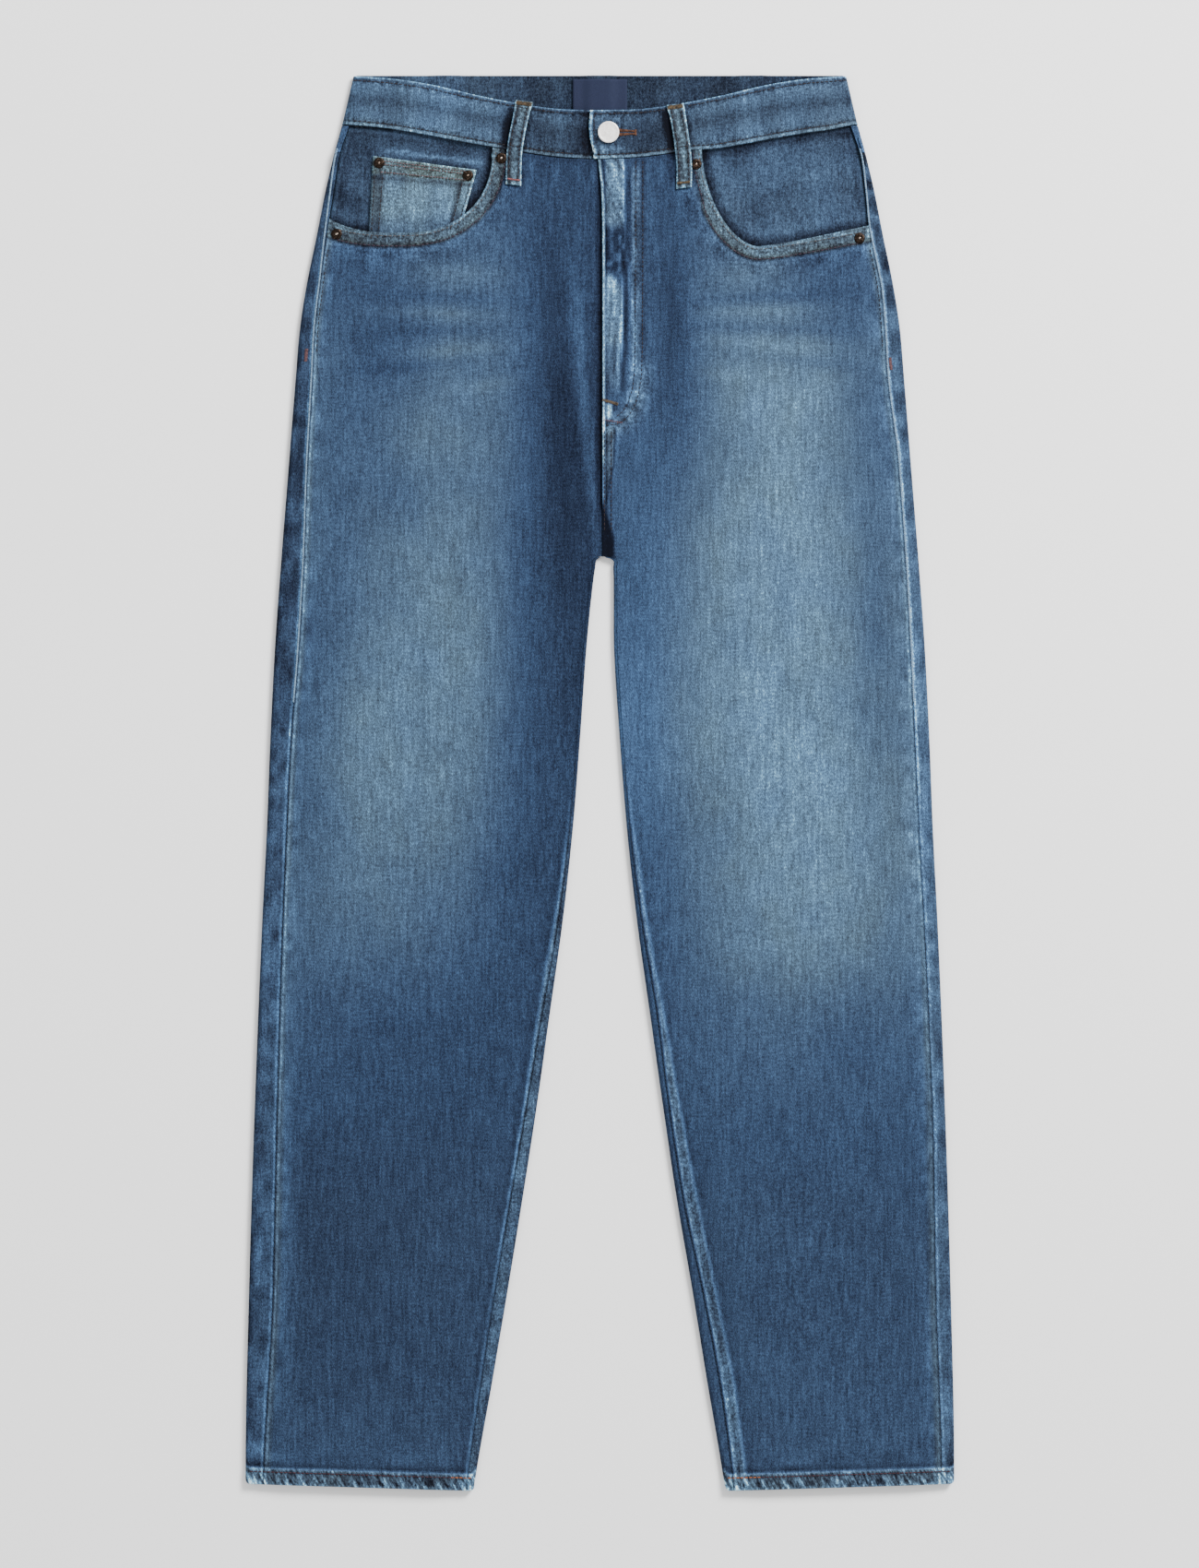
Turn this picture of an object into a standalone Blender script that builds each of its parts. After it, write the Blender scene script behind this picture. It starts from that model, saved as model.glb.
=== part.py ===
"""Mom jeans, laid flat on their back: a five-pocket trouser with a zip fly and tapered ankle legs.

Lengths below are millimetres, and the meshes are built in metres. X runs across the garment
towards the wearer's left leg, Y runs from the hems up to the waist, and Z points up from the
surface that the jeans lie on. The origin is the middle of the bounding box, on that surface.

Every cloth piece is a wall of even thickness. Its outer points are read from one set of section
curves, so neighbouring pieces share their seams, with a small gap between them.
"""

import math
from collections import namedtuple

import bpy
import numpy as np

# Driving dimensions
MM = 0.001
SEAM_GAP = 0.3
DENIM = 1.1
THIN_DENIM = 1.0
BAND_THICK = 2.0
LOOP_THICK = 1.2
FOLD_RADIUS = 2.2
LEG_HEIGHT = 5.9
BAND_RISE = 0.6
BACK_TOP_Y = 533.4
HEM_Y = -533.4
HEM_RISE = 0.031
HEM_DEPTH = 12.0
HEM_THICK = 1.8
CROTCH_Y = 171.0
RIGHT, LEFT = -1, 1

# One row for each section across the garment, from the waist down: the half width to the outer
# fold, and how far the side seam of each leg lies inside that fold, on the upper side.
Section = namedtuple("Section", "y outer seam_right seam_left")
SECTIONS = [
    Section(533.4, 185.6, 6.5, 6.5),
    Section(495.5, 194.6, 5.6, 5.6),
    Section(475.0, 200.2, 4.4, 4.4),
    Section(447.0, 206.8, 6.3, 7.0),
    Section(412.0, 213.7, 7.6, 9.8),
    Section(378.0, 220.7, 10.0, 9.6),
    Section(343.0, 226.2, 11.4, 11.6),
    Section(308.0, 229.2, 12.6, 12.6),
    Section(240.0, 234.6, 14.2, 9.6),
    Section(171.0, 240.1, 17.2, 10.0),
    Section(103.0, 245.0, 18.2, 11.1),
    Section(34.0, 248.5, 16.2, 11.4),
    Section(-36.0, 251.2, 15.4, 10.8),
    Section(-105.0, 254.7, 16.0, 10.4),
    Section(-244.0, 260.3, 17.4, 9.8),
    Section(-383.0, 264.6, 18.6, 11.6),
    Section(-522.0, 267.2, 14.0, 9.8),
    Section(-533.4, 267.2, 13.6, 9.6),
]

# One row for each section of the legs: how far the inner fold of each leg lies from the centre
# line, and how far the inseam lies inside that fold, on the upper side.
Inside = namedtuple("Inside", "y inner_right inner_left inseam_right inseam_left")
INSIDES = [
    Inside(171.0, -1.2, 1.6, 2.9, 2.6),
    Inside(168.5, 2.2, 9.2, 2.9, 2.6),
    Inside(163.0, 3.4, 10.0, 2.4, 2.4),
    Inside(138.0, 6.6, 10.4, 2.4, 2.4),
    Inside(103.0, 10.0, 10.6, 2.4, 2.4),
    Inside(34.0, 14.9, 14.9, 2.4, 2.4),
    Inside(-36.0, 20.5, 20.5, 2.4, 2.4),
    Inside(-105.0, 28.1, 28.1, 3.2, 3.6),
    Inside(-175.0, 37.9, 37.9, 5.6, 5.4),
    Inside(-244.0, 47.6, 47.6, 7.6, 4.6),
    Inside(-314.0, 58.4, 58.0, 9.0, 5.0),
    Inside(-383.0, 69.6, 69.8, 9.6, 7.8),
    Inside(-453.0, 81.5, 81.2, 8.3, 9.4),
    Inside(-522.0, 93.5, 92.8, 5.8, 7.2),
    Inside(-533.4, 94.9, 94.2, 5.4, 7.0),
]

# The front of the waistband: its two edges at distances from the centre line.
BandEdge = namedtuple("BandEdge", "x top bottom")
BAND_EDGES = [
    BandEdge(0.0, 506.4, 469.6),
    BandEdge(30.0, 507.4, 471.4),
    BandEdge(60.0, 511.6, 475.6),
    BandEdge(95.0, 518.2, 481.6),
    BandEdge(130.0, 525.6, 488.2),
    BandEdge(160.0, 530.0, 493.0),
    BandEdge(190.0, 532.4, 496.2),
]
BACK_BAND_BOTTOM = 495.6

# A pocket mouth leaves the waistband, turns in a rounded corner and runs out to the side seam.
Mouth = namedtuple("Mouth", "waist_x low_x low_y side_y roundness rise_power")
MOUTHS = {
    RIGHT: Mouth(80.8, 150.0, 414.4, 422.3, 2.3, 3.0),
    LEFT: Mouth(76.8, 120.0, 404.2, 418.9, 1.8, 1.2),
}
FACING_TUCK = 9.0

# The coin pocket's four corners, in the order top outer, top inner, bottom inner, bottom outer.
COIN_CORNERS = [(-171.0, 472.5), (-92.8, 461.3), (-106.6, 416.2), (-174.6, 407.5)]

# Height of the layers under the front panel's outer face.
FACING_DROP = 1.8
COIN_DROP = 0.9
COIN_FROM_X, COIN_TO_X, COIN_DROP_TOP = 100.0, 168.0, 488.0
COIN_DROP_MARGIN, COIN_DROP_RAMP = 12.0, 14.0

# The fly: the left front lies over the right one, whose edge is tucked under it.
FLY_EDGE_X = 1.5
FLY_TUCK = 8.0
FLY_CLOSES_Y = 215.0
TUCK_DROP = 1.6
FLY_BOTTOM_Y = 262.0
ZIP_X = (10.2, 32.0)
SHIELD_X = (-12.0, 21.0)
FLY_LAYER_TOP = 466.0
ZIP_BOTTOM, SHIELD_BOTTOM = FLY_BOTTOM_Y + 12, FLY_BOTTOM_Y + 4
ZIP_DEPTH, SHIELD_DEPTH, FLY_LAYER_THICK = 1.4, 2.8, 1.0
BAND_END_X = -7.3
UNDERLAP_X = 38.0

# The relief of the upper side. A leg rises from its fold to its full height over the crown's
# width. Pocket layers, the stacked waistband ends and the fly lift the front of the hip.
CROWN_WIDTH = 34.0
POCKET_LIFT, POCKET_FROM_X, POCKET_BLEND_X, POCKET_FROM_Y, POCKET_BLEND_Y = 0.75, 40, 50, 330, 70
BUTTON_LIFT, BUTTON_REACH_X, BUTTON_LIFT_Y, BUTTON_REACH_Y = 2.3, 34, 497, 52
FLY_LIFT, FLY_REACH_X, FLY_LIFT_FROM_Y, FLY_BLEND_Y = 0.55, 38, 250, 60
TROUGH_DEPTH, TROUGH_X, TROUGH_REACH_X, TROUGH_Y, TROUGH_REACH_Y = 0.45, 26, 15, 330, 110
CLEFT_Z, CLEFT_REACH_X, CLEFT_LENGTH = 3.8, 5.5, 72

# Back pockets and belt loops lie under the back, which is lifted over them.
BackPocket = namedtuple("BackPocket", "inner_x outer_x inner_top outer_top corner_y tip_y")
BACK_POCKET = BackPocket(36.0, 166.0, 412.0, 430.0, 302.0, 278.0)
LIFT_MARGIN = 13.0
LIFT_RAMP = 9.0
LOOP_LIFT_BELOW = 34.0
LOOP_LIFT_RAMP = 14.0
LOOP_LIFT_SIDE = 8.0
CROTCH_LIFT = 0.7
BACK_LOOPS_X = (-118.0, 0.0, 118.0)
LOOP_WIDTH = 11.0
LOOP_STAND_OFF = 1.0
LOOP_EDGE_ROUNDING = 0.25
BACK_LOOP_BOTTOM = 478.0

# Front belt loops, from the top middle to the bottom middle.
FRONT_LOOPS = {
    "belt_loop_front_right": ((-56.6, 512.4), (-65.3, 451.1)),
    "belt_loop_front_left": ((56.3, 510.6), (63.8, 448.6)),
}

# Metal trim
BUTTON_AT = (6.5, 489.8)
BUTTON_RADIUS = 8.5
SHANK_RADIUS = 2.2
BUTTONHOLE_END_X = 26.8
RIVET_RADIUS = 4.4
FRONT_RIVETS = {
    "rivet_right_waist": (-74.2, 470.6),
    "rivet_right_side": (-198.4, 413.6),
    "rivet_left_waist": (72.6, 466.0),
    "rivet_left_side": (195.6, 410.4),
}
COIN_RIVETS = {
    "rivet_coin_outer": (-166.3, 467.2),
    "rivet_coin_inner": (-99.4, 457.7),
}

DENIM_BLUE = (0.10, 0.19, 0.33, 1.0)
WORN_BLUE = (0.20, 0.33, 0.47, 1.0)
LABEL_NAVY = (0.02, 0.03, 0.08, 1.0)
ANTIQUE_COPPER = (0.16, 0.09, 0.06, 1.0)
PALE_NICKEL = (0.80, 0.78, 0.76, 1.0)
ZIP_BRASS = (0.55, 0.42, 0.20, 1.0)


def column(rows, name):
    """A smooth curve through one named column of a table, read at any value of its first column."""
    ordered = sorted(rows, key=lambda row: row[0])
    x = np.array([row[0] for row in ordered])
    y = np.array([getattr(row, name) for row in ordered])
    step = np.diff(y) / np.diff(x)
    slope = np.concatenate([step[:1], (step[1:] + step[:-1]) / 2, step[-1:]])
    flat = np.concatenate([[False], step[1:] * step[:-1] <= 0, [False]])
    slope[flat] = 0.0

    def read(at):
        at = min(max(at, x[0]), x[-1])
        i = min(int(np.searchsorted(x, at, side="right")) - 1, len(x) - 2)
        width = x[i + 1] - x[i]
        t = (at - x[i]) / width
        ease = t * t * (3 - 2 * t)
        lead = t * (1 - t) ** 2 * width * slope[i]
        tail = t * t * (t - 1) * width * slope[i + 1]
        return float(y[i] + ease * (y[i + 1] - y[i]) + lead + tail)

    return read


outer_at = column(SECTIONS, "outer")
seam_inset = {RIGHT: column(SECTIONS, "seam_right"), LEFT: column(SECTIONS, "seam_left")}
inner_at = {RIGHT: column(INSIDES, "inner_right"), LEFT: column(INSIDES, "inner_left")}
inseam_inset = {RIGHT: column(INSIDES, "inseam_right"), LEFT: column(INSIDES, "inseam_left")}
band_top = column(BAND_EDGES, "top")
band_bottom = column(BAND_EDGES, "bottom")


def ease(value):
    """Rises smoothly from 0 to 1 as the value does."""
    t = min(max(value, 0.0), 1.0)
    return t * t * (3 - 2 * t)


def mouth_y(mouth, x):
    """Height of a pocket mouth's edge at a distance from the centre line."""
    start = band_bottom(mouth.waist_x) - SEAM_GAP
    if x <= mouth.waist_x:
        return start
    if x < mouth.low_x:
        across = (mouth.low_x - x) / (mouth.low_x - mouth.waist_x)
        fall = (1 - across**mouth.roundness) ** (1 / mouth.roundness)
        return start - (start - mouth.low_y) * fall
    side_x = seam_x(RIGHT, mouth.side_y)
    along = (x - mouth.low_x) / (side_x - mouth.low_x)
    return mouth.low_y + (mouth.side_y - mouth.low_y) * along**mouth.rise_power


def seam_x(side, y):
    """Distance of the side seam from the centre line."""
    return outer_at(y) - seam_inset[side](y)


def upper_z(side, x, y):
    """Height of the upper cloth's outer face, x being the distance from the centre line."""
    from_fold = outer_at(y) - FOLD_RADIUS - x
    if y < CROTCH_Y:
        from_fold = min(from_fold, x - inner_at[side](y) - FOLD_RADIUS)
    else:
        from_fold = min(from_fold, math.hypot(x, 0.6 * (y - CROTCH_Y)) + 4.0)
    crown = ease(from_fold / CROWN_WIDTH)
    height = 2 * FOLD_RADIUS + (LEG_HEIGHT - 2 * FOLD_RADIUS) * crown

    pocket_x, pocket_y = (x - POCKET_FROM_X) / POCKET_BLEND_X, (y - POCKET_FROM_Y) / POCKET_BLEND_Y
    button_x, button_y = x / BUTTON_REACH_X, (y - BUTTON_LIFT_Y) / BUTTON_REACH_Y
    fly_x, fly_y = x / FLY_REACH_X, (y - FLY_LIFT_FROM_Y) / FLY_BLEND_Y
    height += POCKET_LIFT * ease(pocket_x) * ease(pocket_y) * crown
    height += BUTTON_LIFT * math.exp(-(button_x**2) - button_y**2)
    height += FLY_LIFT * math.exp(-(fly_x**2)) * ease(fly_y)

    # A soft trough beside the fly, and the valley where the thighs meet at the crotch.
    if side == RIGHT:
        trough_x, trough_y = (x - TROUGH_X) / TROUGH_REACH_X, (y - TROUGH_Y) / TROUGH_REACH_Y
        height -= TROUGH_DEPTH * math.exp(-(trough_x**2) - trough_y**2)
    if y >= CROTCH_Y - 4:
        near = 1 - ease((y - CROTCH_Y) / CLEFT_LENGTH)
        height -= (height - CLEFT_Z) * near * math.exp(-((x / CLEFT_REACH_X) ** 2))
    return height


def back_lift(x, y):
    """How far the back's outer face is raised over what lies under it."""
    distance = abs(x)
    pocket = BACK_POCKET
    across = max(pocket.inner_x - distance, distance - pocket.outer_x, 0.0)
    along = max(pocket.tip_y - y, y - pocket.outer_top, 0.0)
    over_pocket = 1 - ease((math.hypot(across, along) - LIFT_MARGIN) / LIFT_RAMP)
    over_loop = 0.0
    above_start = y - BACK_LOOP_BOTTOM + LOOP_LIFT_BELOW
    if above_start > 0:
        beside = min(abs(x - at) for at in BACK_LOOPS_X) / LOOP_LIFT_SIDE
        over_loop = (1 - ease(beside - 1)) * ease(above_start / LOOP_LIFT_RAMP)
    crotch = math.exp(-((distance / 8) ** 2) - ((y - CROTCH_Y) / 10) ** 2)
    pocket_lift = (THIN_DENIM + SEAM_GAP) * over_pocket
    loop_lift = (LOOP_THICK + SEAM_GAP) * over_loop
    return max(pocket_lift, loop_lift, CROTCH_LIFT * crotch)


def fold_arc(inset, radius=FOLD_RADIUS):
    """Length along the cloth from the outermost point of a fold to a point at this inset."""
    if inset >= radius:
        return math.pi / 2 * radius + inset - radius
    return radius * math.acos(1 - inset / radius)


def wrapped(arc, radius=FOLD_RADIUS):
    """(inset from the fold, height) of a point at a length along the cloth, upwards of the fold
    when positive. The height is None where the point is past the fold on a flat side."""
    quarter = math.pi / 2 * radius
    if abs(arc) >= quarter:
        return radius + abs(arc) - quarter, None
    angle = arc / radius
    return radius - radius * math.cos(angle), radius + radius * math.sin(angle)


def sheet_point(side, x, y, upper, height=None):
    """A point of the garment's outer face, in millimetres."""
    if height is None:
        height = upper_z(side, x, y) if upper else back_lift(side * x, y)
    return (side * x, y, height)


def outer_fold_point(side, arc, y):
    inset, height = wrapped(arc)
    return sheet_point(side, outer_at(y) - inset, y, arc > 0, height)


def inner_fold_point(side, arc, y):
    inset, height = wrapped(arc)
    return sheet_point(side, inner_at[side](y) + inset, y, arc > 0, height)


def hem_shifted(y, x):
    """The hem rises a little towards the outer fold, and so do the rows just above it."""
    near_hem = ease((-380 - y) / (-380 - HEM_Y))
    return y + HEM_RISE * (x - 94) * near_hem


def grid_normals(points):
    """Unit normals of a grid of points, from its neighbours along each row and column."""
    along = np.gradient(points, axis=0)
    across = np.gradient(points, axis=1)
    normals = np.cross(across, along)
    return normals / np.maximum(np.linalg.norm(normals, axis=2, keepdims=True), 1e-9)


def cloth_wall(name, outer, thickness, colour, flip=False, roughness=0.9):
    """A closed wall of cloth from a grid of outer points. The thickness may change by row."""
    outer = np.array(outer, float)
    normals = grid_normals(outer) * (-1 if flip else 1)
    depth = np.broadcast_to(np.asarray(thickness, float).reshape(-1, 1, 1), (outer.shape[0], 1, 1))
    inner = outer - normals * depth
    rows, columns = outer.shape[:2]
    points = np.concatenate([outer.reshape(-1, 3), inner.reshape(-1, 3)]) * MM
    inside = rows * columns

    def at(i, j):
        return i * columns + j

    faces = []
    for i in range(rows - 1):
        for j in range(columns - 1):
            a, b, c, d = at(i, j), at(i, j + 1), at(i + 1, j + 1), at(i + 1, j)
            faces.append((a, b, c, d))
            faces.append((inside + a, inside + d, inside + c, inside + b))
    rim = [at(0, j) for j in range(columns - 1)]
    rim += [at(i, columns - 1) for i in range(rows - 1)]
    rim += [at(rows - 1, j) for j in range(columns - 1, 0, -1)]
    rim += [at(i, 0) for i in range(rows - 1, 0, -1)]
    for k, a in enumerate(rim):
        b = rim[(k + 1) % len(rim)]
        faces.append((b, a, inside + a, inside + b))
    if flip:
        faces = [face[::-1] for face in faces]
    return add_object(name, points, faces, colour, roughness)


def add_object(name, points, faces, colour, roughness=0.9, metallic=0.0):
    mesh = bpy.data.meshes.new(name)
    mesh.from_pydata([tuple(p) for p in points], [], faces)
    mesh.update()
    obj = bpy.data.objects.new(name, mesh)
    bpy.context.scene.collection.objects.link(obj)
    mesh.materials.append(finish(name, colour, roughness, metallic))
    return obj


def finish(name, colour, roughness, metallic):
    material = bpy.data.materials.new(name)
    material.use_nodes = True
    shader = material.node_tree.nodes["Principled BSDF"]
    shader.inputs["Base Color"].default_value = colour
    shader.inputs["Roughness"].default_value = roughness
    shader.inputs["Metallic"].default_value = metallic
    return material


# Rows that the front and back panels share below the hip, so that their seams match.
HIP_ROW_Y = 378.0
PANEL_ROWS = [378, 343, 308, 274, 240, 215, 195, 180, 171.2, 168.5, 163, 152, 138, 103, 68, 34]
PANEL_ROWS += [-1, -36, -105, -175, -244, -314, -383, -430, -475, -505]
HEM_TOP_Y = HEM_Y + HEM_DEPTH
HEM_ROWS = [HEM_TOP_Y + 1.6, HEM_TOP_Y, HEM_Y]
PANEL_THICKNESS = [DENIM] * (len(PANEL_ROWS) + 1) + [HEM_THICK] * 2


def front_edge_x(side, y):
    """Where a front panel ends at the centre: the left edge is the fly, the right is tucked."""
    if side == LEFT:
        return FLY_EDGE_X + SEAM_GAP / 2
    tuck = FLY_TUCK * ease((y - FLY_CLOSES_Y) / 25)
    return -(FLY_EDGE_X - SEAM_GAP / 2) - tuck


def tuck_drop(side, x, y):
    """How far the right front dips to pass under the fly's edge. x is positive outwards."""
    if side == LEFT:
        return 0.0
    return TUCK_DROP * (1 - ease((x + 0.3) / 8.0)) * ease((y - FLY_CLOSES_Y + 20) / 20)


# Columns of a front: steps from its centre edge, shares of the way to the pocket mouth, steps
# outwards from the mouth's upper end, and how many more lead to the side seam.
HIP_COLUMNS_INSIDE = [0.0, 1.2, 2.6, 5.0, 10.0]
HIP_SHARES_MIDDLE = [0.3, 0.52, 0.76]
HIP_COLUMNS_MOUTH = [0.0, 1.0, 3.2, 8.0, 17.0]
HIP_COUNT_OUTSIDE = 6


def hip_columns(side, y):
    """Distances from the centre line of a front panel's columns, at the hip."""
    mouth = MOUTHS[side]
    start = front_edge_x(side, y)
    seam = seam_x(side, y) - SEAM_GAP / 2
    inside = [start + step for step in HIP_COLUMNS_INSIDE]
    middle = [mouth.waist_x * share for share in HIP_SHARES_MIDDLE]
    round_mouth = [mouth.waist_x + step for step in HIP_COLUMNS_MOUTH]
    last, count = round_mouth[-1], HIP_COUNT_OUTSIDE
    outside = [last + (seam - last) * k / count for k in range(1, count + 1)]
    return inside + middle + round_mouth + outside


def leg_columns(side, y):
    """(distance, height) of a front panel's columns on the leg, from the inseam outwards."""
    start = fold_arc(inseam_inset[side](y)) + SEAM_GAP / 2
    quarter = math.pi / 2 * FOLD_RADIUS
    seam = seam_x(side, y) - SEAM_GAP / 2
    total = seam - inner_at[side](y) - FOLD_RADIUS + quarter
    count = len(hip_columns(side, y)) - len(HIP_COLUMNS_INSIDE)
    arcs = [start + step for step in HIP_COLUMNS_INSIDE]
    arcs += [arcs[-1] + (total - arcs[-1]) * k / count for k in range(1, count + 1)]
    found = []
    for arc in arcs:
        inset, height = wrapped(arc)
        found.append((inner_at[side](y) + inset, height))
    return found


def front_panel(side, name):
    """A front: from the waistband and pocket mouth down to the hem, and inseam to side seam."""
    mouth = MOUTHS[side]
    rows = []
    top_rows = 5
    for k in range(top_rows):
        share = 1 - k / top_rows
        row = []
        for x in hip_columns(side, HIP_ROW_Y):
            if x < mouth.waist_x:
                top = band_bottom(abs(x)) - SEAM_GAP
            else:
                top = mouth_y(mouth, x)
            row.append((x, HIP_ROW_Y + (top - HIP_ROW_Y) * share))
        last_x = row[-1][0]
        for j, (x, y) in enumerate(row):
            # Columns lean with the side seam, and the centre edge keeps to the fly's line.
            lean = seam_x(side, y) - SEAM_GAP / 2 - last_x
            fixed_x = mouth.waist_x + HIP_COLUMNS_MOUTH[-1]
            weight = ease((x - fixed_x) / (last_x - fixed_x))
            row[j] = (x + lean * weight, y)
        rows.append([sheet_point(side, x, y, True) for x, y in row])
    for y in PANEL_ROWS + HEM_ROWS:
        if y > CROTCH_Y:
            columns = [(x, None) for x in hip_columns(side, y)]
            to_leg = ease((HIP_ROW_Y - y) / (HIP_ROW_Y - CROTCH_Y))
            legs = leg_columns(side, CROTCH_Y)
            fixed = len(HIP_COLUMNS_INSIDE)
            columns = columns[:fixed] + [
                (hip[0] + (leg[0] - hip[0]) * to_leg, None)
                for hip, leg in zip(columns[fixed:-1], legs[fixed:-1])
            ] + columns[-1:]
        else:
            columns = leg_columns(side, y)
        rows.append([sheet_point(side, x, hem_shifted(y, x), True, z) for x, z in columns])
    shaped = [
        [(x, y, z - tuck_drop(side, side * x, y)) for x, y, z in row] for row in rows
    ]
    thickness = [DENIM] * top_rows + PANEL_THICKNESS
    return cloth_wall(name, shaped, thickness, DENIM_BLUE, flip=side == LEFT)


FOLD_ANGLES = (90, 50, 0, -50, -90)
HALF_BACK = 196.0
YOKE_SIDE_Y = 475.0
YOKE_CENTRE_Y = 432.0


def yoke_seam_y(x):
    """Height of the seam between yoke and back panel, at a distance from the centre line."""
    return YOKE_CENTRE_Y + (YOKE_SIDE_Y - YOKE_CENTRE_Y) * min(abs(x) / HALF_BACK, 1.0)


def outer_fold_row(side, y_of):
    """Points from the side seam round the outer fold to the flat back. y_of gives the height
    along the garment at a distance from the centre line."""
    edge = outer_at(y_of(HALF_BACK))
    y = y_of(edge)
    quarter = math.pi / 2 * FOLD_RADIUS
    seam_arc = fold_arc(seam_inset[side](y)) - SEAM_GAP / 2
    arcs = [seam_arc] + [quarter * angle / 90 for angle in FOLD_ANGLES]
    return [outer_fold_point(side, arc, y) for arc in arcs]


def back_panel(side, name):
    """A back: it wraps round both folds of the leg, and shows beside each seam from above."""
    flat_shares = [0.09, 0.2, 0.32, 0.44, 0.56, 0.68, 0.8, 0.91]
    near_centre = [12.0, 8.0, 5.0, 3.0, 1.5, SEAM_GAP / 2]
    rows = []
    top_rows = 4
    for k in range(top_rows):
        share = 1 - k / top_rows

        def y_of(x):
            return HIP_ROW_Y + (yoke_seam_y(x) - SEAM_GAP / 2 - HIP_ROW_Y) * share

        row = outer_fold_row(side, y_of)
        wide = outer_at(y_of(HALF_BACK)) - FOLD_RADIUS
        flats = [wide + (near_centre[0] - wide) * f for f in flat_shares] + near_centre
        row += [sheet_point(side, x, y_of(x), False) for x in flats]
        rows.append(row)
    for y in PANEL_ROWS + HEM_ROWS:
        row = outer_fold_row(side, lambda x: hem_shifted(y, x))
        wide = outer_at(y) - FOLD_RADIUS
        if y > CROTCH_Y:
            last = [sheet_point(side, x, y, False) for x in near_centre]
            narrow = near_centre[0]
        else:
            quarter = math.pi / 2 * FOLD_RADIUS
            seam = fold_arc(inseam_inset[side](y)) - SEAM_GAP / 2
            arcs = [-quarter, -quarter / 2, 0, min(0.4 * seam, quarter / 2)]
            arcs += [min(0.7 * seam, quarter), seam]
            narrow = inner_at[side](y) + FOLD_RADIUS
            last = [inner_fold_point(side, arc, hem_shifted(y, narrow)) for arc in arcs]
        flats = [wide + (narrow - wide) * f for f in flat_shares]
        row += [sheet_point(side, x, hem_shifted(y, x), False) for x in flats]
        rows.append(row + last)
    thickness = [DENIM] * top_rows + PANEL_THICKNESS
    return cloth_wall(name, rows, thickness, DENIM_BLUE, flip=side == LEFT)


def yoke(side, name):
    """The back yoke: a wedge under the waistband that wraps round the outer fold."""
    flats = [186.0, 170.0, 150.0, 134.0, 126.0, 110.0, 102.0, 80.0, 50.0, 34.0, 16.0, 8.0]
    flats.append(SEAM_GAP / 2)
    rows = []
    steps = 4
    for k in range(steps + 1):
        share = 1 - k / steps

        def y_of(x):
            low = yoke_seam_y(x) + SEAM_GAP / 2
            return low + (BACK_BAND_BOTTOM - SEAM_GAP - low) * share

        row = outer_fold_row(side, y_of)
        row += [sheet_point(side, x, y_of(x), False) for x in flats]
        rows.append(row)
    return cloth_wall(name, rows, DENIM, DENIM_BLUE, flip=side == LEFT)


def facing_z(side, x, y):
    """Height of a pocket facing's outer face; it dips further under the coin pocket."""
    drop = FACING_DROP
    if side == RIGHT:
        across = max(COIN_FROM_X - x, x - COIN_TO_X, 0.0)
        beside = ease((across - COIN_DROP_MARGIN) / COIN_DROP_RAMP)
        drop += COIN_DROP * (1 - beside) * ease((COIN_DROP_TOP - y) / 8)
    return upper_z(side, x, y) - drop


def pocket_facing(side, name):
    """The cloth that shows inside a pocket mouth, tucked under the front and the waistband."""
    mouth = MOUTHS[side]
    low = mouth._replace(
        waist_x=mouth.waist_x - FACING_TUCK,
        low_y=mouth.low_y - FACING_TUCK,
        side_y=mouth.side_y - FACING_TUCK,
    )
    tuck_under_band = 5.0
    side_gap = 1.5
    shares = [0.0, 0.012, 0.04, 0.1, 0.19, 0.3, 0.42, 0.55, 0.68, 0.8, 0.9, 1.0]
    heights = [0.0, 0.12, 0.3, 0.5, 0.7, 0.88, 1.0]
    rows = []
    for height in heights:
        row = []
        for share in shares:
            x = low.waist_x + (seam_x(side, low.side_y) - low.waist_x) * share
            bottom = mouth_y(low, x)
            tuck = (tuck_under_band + side_gap) * (1 - ease((x - 140) / 30)) - side_gap
            top = band_bottom(x) + tuck
            y = top + (bottom - top) * height
            lean = seam_x(side, y) - SEAM_GAP / 2 - seam_x(side, low.side_y)
            x += lean * ease((share - 0.42) / 0.58)
            row.append((side * x, y, facing_z(side, x, y)))
        rows.append(row)
    return cloth_wall(name, rows, THIN_DENIM, WORN_BLUE, flip=side == LEFT)


def coin_pocket(name):
    """The small pocket on the right facing. Its foot is caught under the pocket mouth."""
    top_out, top_in, low_in, low_out = (np.array(corner) for corner in COIN_CORNERS)
    lift = SEAM_GAP + THIN_DENIM
    shares = (0.0, 0.2, 0.4, 0.6, 0.8, 1.0)
    rows = []
    for down in shares:
        outer_end = (1 - down) * top_out + down * low_out
        inner_end = (1 - down) * top_in + down * low_in
        row = []
        for along in shares:
            x, y = (1 - along) * outer_end + along * inner_end
            row.append((x, y, facing_z(RIGHT, -x, y) + lift))
        rows.append(row)
    return cloth_wall(name, rows, THIN_DENIM, WORN_BLUE, flip=True)


def band_crease(x, height):
    """A shallow crease that runs along the front of the waistband towards each side."""
    along = ease((x - 50) / 40) * ease((186 - x) / 30)
    return 0.45 * along * math.exp(-(((height - 0.52) / 0.16) ** 2))


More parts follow.
